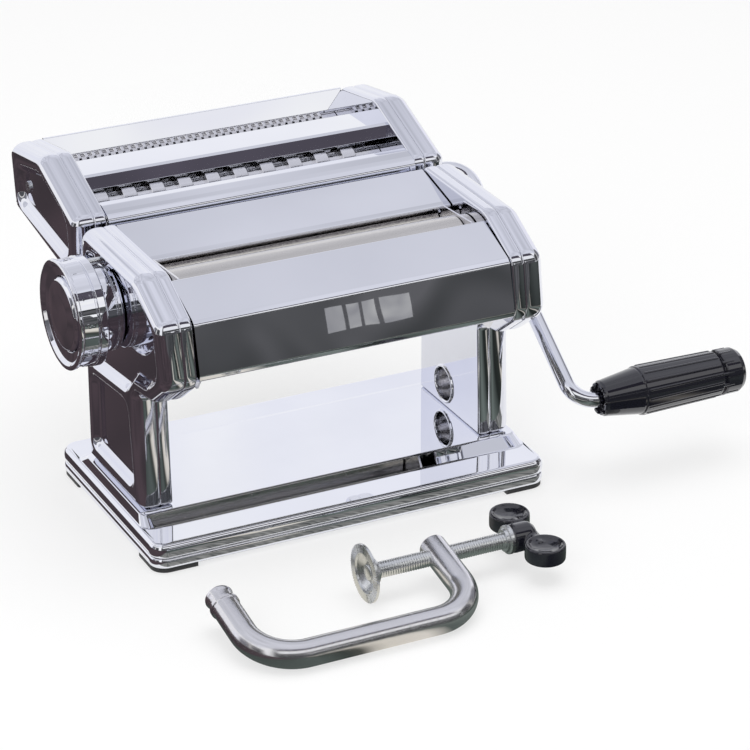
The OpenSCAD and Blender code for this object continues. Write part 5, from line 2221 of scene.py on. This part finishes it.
@dataclass
class Studio:
    """Camera, pale floor, surroundings painted only into reflections, and soft lights.

    Attributes:
        position: Place of the camera.
        forward: Direction it looks in.
        lens: Its focal length.
        sensor: Width of its sensor.
        floor: Height of the floor.
        floor_reach: How far the floor reaches to each side.
        shadow: Share of the floor's colour that the lights give.
        ambient: Strength of the light from all round.
        near: Place of the wall in front of the machine.
        far: Place of the wall behind it.
        high: Height of the ceiling.
        left_edge: Where the banded floor in front ends on the left.
        aim: Point that the lights are turned to.
        front_bands: Colours of the painted reflection bands on the floor in front, dark painted
            shade and bright painted highlight strips, by their place along X.
        panes: Painted reflections of window panes in the wall in front, as (left, right, low,
            high).
        softboxes: Painted highlights in that wall, in the same way: bright glowing cards that
            only mirrors show and that light nothing.
        side_bands: Colours of the painted reflections on the side walls, dark painted shade and
            bright painted highlight strips, by their place along Y.
    """

    position: Point3 = (-593.2, -1287.6, 726.3)
    forward: Point3 = (0.3985, 0.8108, -0.4287)
    lens: float = 155.2
    sensor: float = 36.0
    floor: float = -2.5
    floor_reach: float = 9000.0
    shadow: float = 0.35
    ambient: float = 0.55
    near: float = -950.0
    far: float = 3000.0
    high: float = 1900.0
    left_edge: float = -109.0
    aim: Point3 = (0.0, -30.0, 60.0)
    front_bands: tuple[tuple[float, Point3], ...] = (
        (-700.0, (0.09, 0.07, 0.08)), (-230.0, (0.05, 0.045, 0.05)), (-190.0, PAINTED_DARK_BAND),
        (-176.0, (0.75, 0.70, 0.60)), (-160.0, PAINTED_DARK_BAND), (-70.0, (0.10, 0.12, 0.11)),
        (-50.0, (0.03, 0.035, 0.03)), (-40.0, (0.75, 0.71, 0.62)), (-14.0, (0.8, 0.76, 0.68)),
        (-4.0, (0.10, 0.12, 0.11)), (36.0, (0.2, 0.23, 0.21)), (52.0, PAINTED_DARK_BAND),
        (110.0, (0.16, 0.19, 0.17)), (150.0, PAINTED_DARK_BAND), (186.0, (0.03, 0.035, 0.03)),
        (198.0, (0.85, 0.80, 0.70)), (214.0, (0.04, 0.045, 0.04)), (290.0, (0.17, 0.2, 0.18)),
        (360.0, PAINTED_DARK_BAND), (380.0, (0.6, 0.57, 0.5)), (400.0, PAINTED_DARK_BAND),
        (700.0, (0.08, 0.09, 0.085)),
    )
    panes: tuple[tuple[float, float, float, float], ...] = (
        (356.0, 371.0, 95.0, 114.0), (374.0, 384.0, 95.0, 114.0), (387.0, 399.0, 95.0, 114.0),
        (403.0, 427.0, 95.0, 114.0),
    )
    softboxes: tuple[tuple[float, float, float, float], ...] = (
        (-700.0, 1200.0, 560.0, 1080.0), (-500.0, 1100.0, 330.0, 345.0),
        (100.0, 260.0, 250.0, 330.0),
    )
    side_bands: tuple[tuple[float, Point3], ...] = (
        (-950.0, (0.05, 0.05, 0.05)), (-300.0, (0.10, 0.10, 0.11)), (-280.0, (0.9, 0.88, 0.84)),
        (-200.0, (0.9, 0.88, 0.84)), (-180.0, (0.12, 0.12, 0.13)), (150.0, (0.25, 0.25, 0.28)),
        (420.0, (0.08, 0.08, 0.09)), (440.0, (0.95, 0.95, 1.0)), (1200.0, (0.9, 0.9, 0.98)),
    )

    def build(self) -> None:
        """Makes everything that is not part of the machine."""
        self._camera()
        self._world()
        made = [self._floor()]
        made += self._cards()
        made += self._lights()

    def _camera(self) -> None:
        """Sets the camera to the machine's front left, a little above it."""
        data = bpy.data.cameras.new("view")
        data.lens = self.lens
        data.sensor_width = self.sensor
        data.sensor_fit = "HORIZONTAL"
        data.clip_start = 0.01
        data.clip_end = 50.0
        camera = bpy.data.objects.new("view", data)
        bpy.context.scene.collection.objects.link(camera)
        camera.location = Vector(self.position) * MM
        camera.rotation_euler = Vector(self.forward).to_track_quat("-Z", "Y").to_euler()
        bpy.context.scene.camera = camera
        bpy.context.scene.view_settings.view_transform = "Standard"

    def _world(self) -> None:
        """White where it is seen or mirrored, a plain soft level where it lights."""
        world = bpy.data.worlds.new("surroundings")
        bpy.context.scene.world = world
        tree = Nodes.of(world)
        white = (1.0, 1.0, 1.0, 1.0)
        path = tree.add("ShaderNodeLightPath").outputs
        rays = [path[f"Is {kind} Ray"] for kind in ("Camera", "Glossy", "Transmission")]
        levels = [
            tree.add("ShaderNodeBackground", {"Color": white, "Strength": level})
            for level in (self.ambient, 1.0)
        ]
        mix = {
            "Fac": self._largest(tree, rays),
            1: levels[0].outputs["Background"],
            2: levels[1].outputs["Background"],
        }
        shown = tree.add("ShaderNodeMixShader", mix).outputs["Shader"]
        tree.add("ShaderNodeOutputWorld", {"Surface": shown})

    @staticmethod
    def _largest(tree: Nodes, sockets: Sequence[Socket]) -> Socket:
        """Largest of several values.

        Args:
            tree: Nodes to add to.
            sockets: The values.

        Returns:
            The socket that gives the largest.
        """
        result = sockets[0]
        for other in sockets[1:]:
            pair = {0: result, 1: other}
            result = tree.add("ShaderNodeMath", pair, operation="MAXIMUM").outputs["Value"]
        return result

    def _floor(self) -> Piece:
        """Pale floor that keeps the machine's soft shadow.

        Returns:
            The object.
        """
        material = bpy.data.materials.new("pale_floor")
        tree = Nodes.of(material)
        paint = tree.add("ShaderNodeBsdfDiffuse", {"Color": (0.9, 0.9, 0.9, 1.0)})
        mix = {"Fac": self.shadow, 1: tree.glow((1.0, 1.0, 1.0, 1.0)), 2: paint.outputs["BSDF"]}
        tree.surface(tree.add("ShaderNodeMixShader", mix).outputs["Shader"])
        b = MeshBuilder()
        reach = (-self.floor_reach, self.floor_reach)
        b.faces.append(tuple(b.ring(self._rectangle("Z", self.floor, reach, reach))))
        return b.make("studio_floor", material)

    def _cards(self) -> list[Piece]:
        """Painted reflections: glowing cards of painted shade, windows and highlights that only
        the machine's surfaces mirror.

        Returns:
            The objects.
        """
        low, y, left = self.floor + 0.3, self.near, self.left_edge
        high, far, wide = self.high, self.far, (-2500.0, 3000.0)
        front = (-900.0, 1300.0)
        shade = self._card("shade_left", (0.085, 0.062, 0.07), (0.05, 0.04, 0.045), 140.0)
        # Painted shade and painted highlight lines that the chrome in front mirrors.
        bands = self._striped("shade_front", (-700.0, 1000.0), self.front_bands)
        # Painted shade in the base rim's reflection, drawn as fine lines.
        rim = self._brushed("painted_rim_shade", 1.6)
        wall = self._card("shade_wall", (0.12, 0.12, 0.125), (0.035, 0.038, 0.038), 120.0)
        dusk = self._card("dusk", (0.10, 0.09, 0.115), (0.07, 0.064, 0.08), 300.0)
        # Painted shade and painted highlight strips that the sides of round parts mirror.
        side = self._striped("painted_side_reflection", (-950.0, 1200.0), self.side_bands, "Y")
        sky = self._card("sky", (0.56, 0.57, 0.62), (0.84, 0.85, 0.92), 900.0)
        haze = self._card("haze", (0.88, 0.89, 0.96), (0.98, 0.985, 1.0), 700.0)
        cards = [
            ("left_floor", "Z", low, (-1500.0, left), (y, 700.0), shade),
            ("front_floor", "Z", low, (left, 1000.0), (y, -92.0), bands),
            ("painted_rim_shade_card", "Z", low, (left, 150.0), (-92.0, -64.0), rim),
            ("front_wall", "Y", y, front, (low, high), wall),
            ("upper_wall", "Y", y + 3.0, front, (1080.0, high), dusk),
            ("right_wall", "X", 1400.0, (y, 1200.0), (low, 900.0), side),
            ("left_wall", "X", -1600.0, (y, 1200.0), (low, 900.0), side),
            ("ceiling", "Z", high, wide, (y, far), sky),
            ("back_wall", "Y", far, wide, (low, high), haze),
        ]
        # Painted reflections of windows: grey glowing cards that only mirrors show.
        pane = self._card("pane", (0.46, 0.46, 0.45), (0.30, 0.30, 0.31), 30.0)
        # Painted highlights: bright cards that glow only in reflections and light nothing.
        lamp = self._card("lamp", (1.0, 1.0, 0.98), (0.92, 0.92, 0.95), 200.0)
        for i, (x0, x1, z0, z1) in enumerate(self.panes + self.softboxes):
            light = pane if i < len(self.panes) else lamp
            cards.append((f"pane_{i}", "Y", y + 4.0, (x0, x1), (z0, z1), light))
        return [
            self._flat(name, self._rectangle(normal, level, u, v), material)
            for name, normal, level, u, v, material in cards
        ]

    @staticmethod
    def _rectangle(normal: str, level: float, u: Point2, v: Point2) -> list[Point3]:
        """Corners of a rectangle across one of the axes.

        Args:
            normal: The axis it lies across.
            level: Where it crosses that axis.
            u: From where to where it reaches along the first of the other axes.
            v: The same for the second.

        Returns:
            The four corners.
        """
        place = "XYZ".index(normal)
        corners = []
        for a, b in ((u[0], v[0]), (u[1], v[0]), (u[1], v[1]), (u[0], v[1])):
            corner = [a, b]
            corner.insert(place, level)
            corners.append(tuple(corner))
        return corners

    def _flat(self, name: str, corners: Sequence[Point3], material: Material) -> Piece:
        """A flat card that is seen only in reflections.

        Args:
            name: Its name.
            corners: Its corners.
            material: Its material.

        Returns:
            The object.
        """
        b = MeshBuilder()
        b.faces.append(tuple(b.ring(corners)))
        card = b.make(name, material)
        for ray in ("camera", "diffuse", "shadow", "transmission", "volume_scatter"):
            setattr(card, f"visible_{ray}", False)
        return card

    def _card(self, name: str, dark: Point3, light: Point3, size: float) -> Material:
        """Softly clouded glowing card, a painted reflection that only mirrors show.

        Args:
            name: Name of the material.
            dark: One of its colours, linear.
            light: The other.
            size: Size of the clouds, in millimetres.

        Returns:
            The material.
        """
        material = bpy.data.materials.new(name)
        tree = Nodes.of(material)
        cloud = tree.noise(tree.places(), size, 1.0, 1.4)
        tree.surface(tree.glow(tree.ramp(cloud, ((0.32, dark), (0.68, light)))))
        return material

    def _brushed(self, name: str, size: float) -> Material:
        """Card with fine dark lines along Y: painted shade that the base's rim mirrors.

        Args:
            name: Name of the material.
            size: Width of the lines, in millimetres.

        Returns:
            The material.
        """
        material = bpy.data.materials.new(name)
        tree = Nodes.of(material)
        lines = tree.noise(tree.stretched(tree.places(), (1.0, 0.06, 1.0)), size, 3.0)
        stops = ((0.35, (0.10, 0.105, 0.10)), (0.62, (0.30, 0.30, 0.28)))
        tree.surface(tree.glow(tree.ramp(lines, stops)))
        return material

    def _striped(
        self,
        name: str,
        reach: Point2,
        bands: Sequence[tuple[float, Point3]],
        axis: str = "X",
    ) -> Material:
        """Card with soft bands of painted shade and painted highlight, seen only in reflections.

        Args:
            name: Name of the material.
            reach: First and last place of the bands, in millimetres.
            bands: Place and colour of each stop.
            axis: Axis that the places are on.

        Returns:
            The material.
        """
        material = bpy.data.materials.new(name)
        tree = Nodes.of(material)
        split = tree.add("ShaderNodeSeparateXYZ", {"Vector": tree.places()})
        span = {
            "Value": split.outputs[axis],
            "From Min": reach[0] * MM,
            "From Max": reach[1] * MM,
        }
        along = tree.add("ShaderNodeMapRange", span).outputs["Result"]
        length = reach[1] - reach[0]
        stops = [((x - reach[0]) / length, colour) for x, colour in bands]
        tree.surface(tree.glow(tree.ramp(along, stops)))
        return material

    def _lights(self) -> list[Piece]:
        """A broad light from above and a weaker one from the front left.

        Returns:
            The objects.
        """
        made = []
        for name, at, size, energy in (
            ("light_above", (150.0, 100.0, 1500.0), 1400.0, 14.0),
            ("light_front", (-1100.0, -900.0, 900.0), 900.0, 7.0),
        ):
            data = bpy.data.lights.new(name, "AREA")
            data.shape = "SQUARE"
            data.size = size * MM
            data.energy = energy
            lamp = bpy.data.objects.new(name, data)
            bpy.context.scene.collection.objects.link(lamp)
            lamp.location = Vector(at) * MM
            aim = Vector(self.aim) - Vector(at)
            lamp.rotation_euler = aim.to_track_quat("-Z", "Y").to_euler()
            lamp.visible_glossy = False
            made.append(lamp)
        return made


# ---------------------------------------------------------------- machine


class Machine:
    """The whole machine as a list of sub-assemblies."""

    def __init__(self, frame: dict) -> None:
        """Lists the sub-assemblies, in the order in which they are built.
        """
        shop = Workshop()
        drives = [(*axis, AT.drive_hole) for axis in (AT.wide[0], AT.fine[0])]
        head_holes = {
            "right": [(AT.roller_y[1], AT.roller_z, AT.drive_hole)],
            "left": [(*AT.knob, AT.knob_hole), AT.pin_hole],
        }
        cutter_holes = {"right": [*drives, AT.rivet], "left": [AT.rivet]}
        sides = ((1, "right"), (-1, "left"))
        cheeks = [
            Cheek(
                shop, f"{word}_cheek", "stand", side, HEAD_OUTLINE, (HEAD_PANEL, LEG_PANEL),
                [AT.clamp_hole], head_holes[word],
                (f"{word}_inner_plate", f"{word}_outer_cover"),
            )
            for side, word in sides
        ]
        cheeks += [
            Cheek(
                shop, f"cutter_{word}_cheek", "cutter_head", side, CUTTER_OUTLINE,
                (CUTTER_PANEL,), [], cutter_holes[word],
                (f"cutter_{word}_plate", f"cutter_{word}_cover"),
            )
            for side, word in sides
        ]
        cutters = [
            RibbonCutter(shop, name, body, axis, grooves, start, driven)
            for name, body, axis, grooves, start, driven in (
                ("wide_drum_driven_by_crank", "wide_drive", AT.wide[0], WIDE, -73.65, True),
                ("wide_drum_follower", "wide_driven", AT.wide[1], WIDE, -66.25, False),
                ("fine_drum_driven_by_crank", "fine_drive", AT.fine[0], FINE, -71.95, True),
                ("fine_drum_follower", "fine_driven", AT.fine[1], FINE, -70.0, False),
            )
        ]
        self.shop = shop
        self.groups = [
            Base(shop),
            *cheeks,
            HeadCovers(shop),
            Rollers(shop),
            GapKnob(shop),
            CutterGuides(shop),
            *cutters,
            Crank(shop),
            TableClamp(shop),
            Hardware(shop),
            CarriedNodes(shop, frame),
        ]

    def build(self) -> None:
        """Builds every sub-assembly."""
        for group in self.groups:
            group.build()
        log.info("%d pieces made", len(self.shop.made))


def main() -> None:
    """Loads the frame, builds the looks over it and sets the studio."""
    logging.basicConfig(level=logging.INFO, format="%(message)s")
    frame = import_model()
    Machine(frame).build()
    Studio().build()
    bpy.context.view_layer.update()


if __name__ == "__main__":
    main()
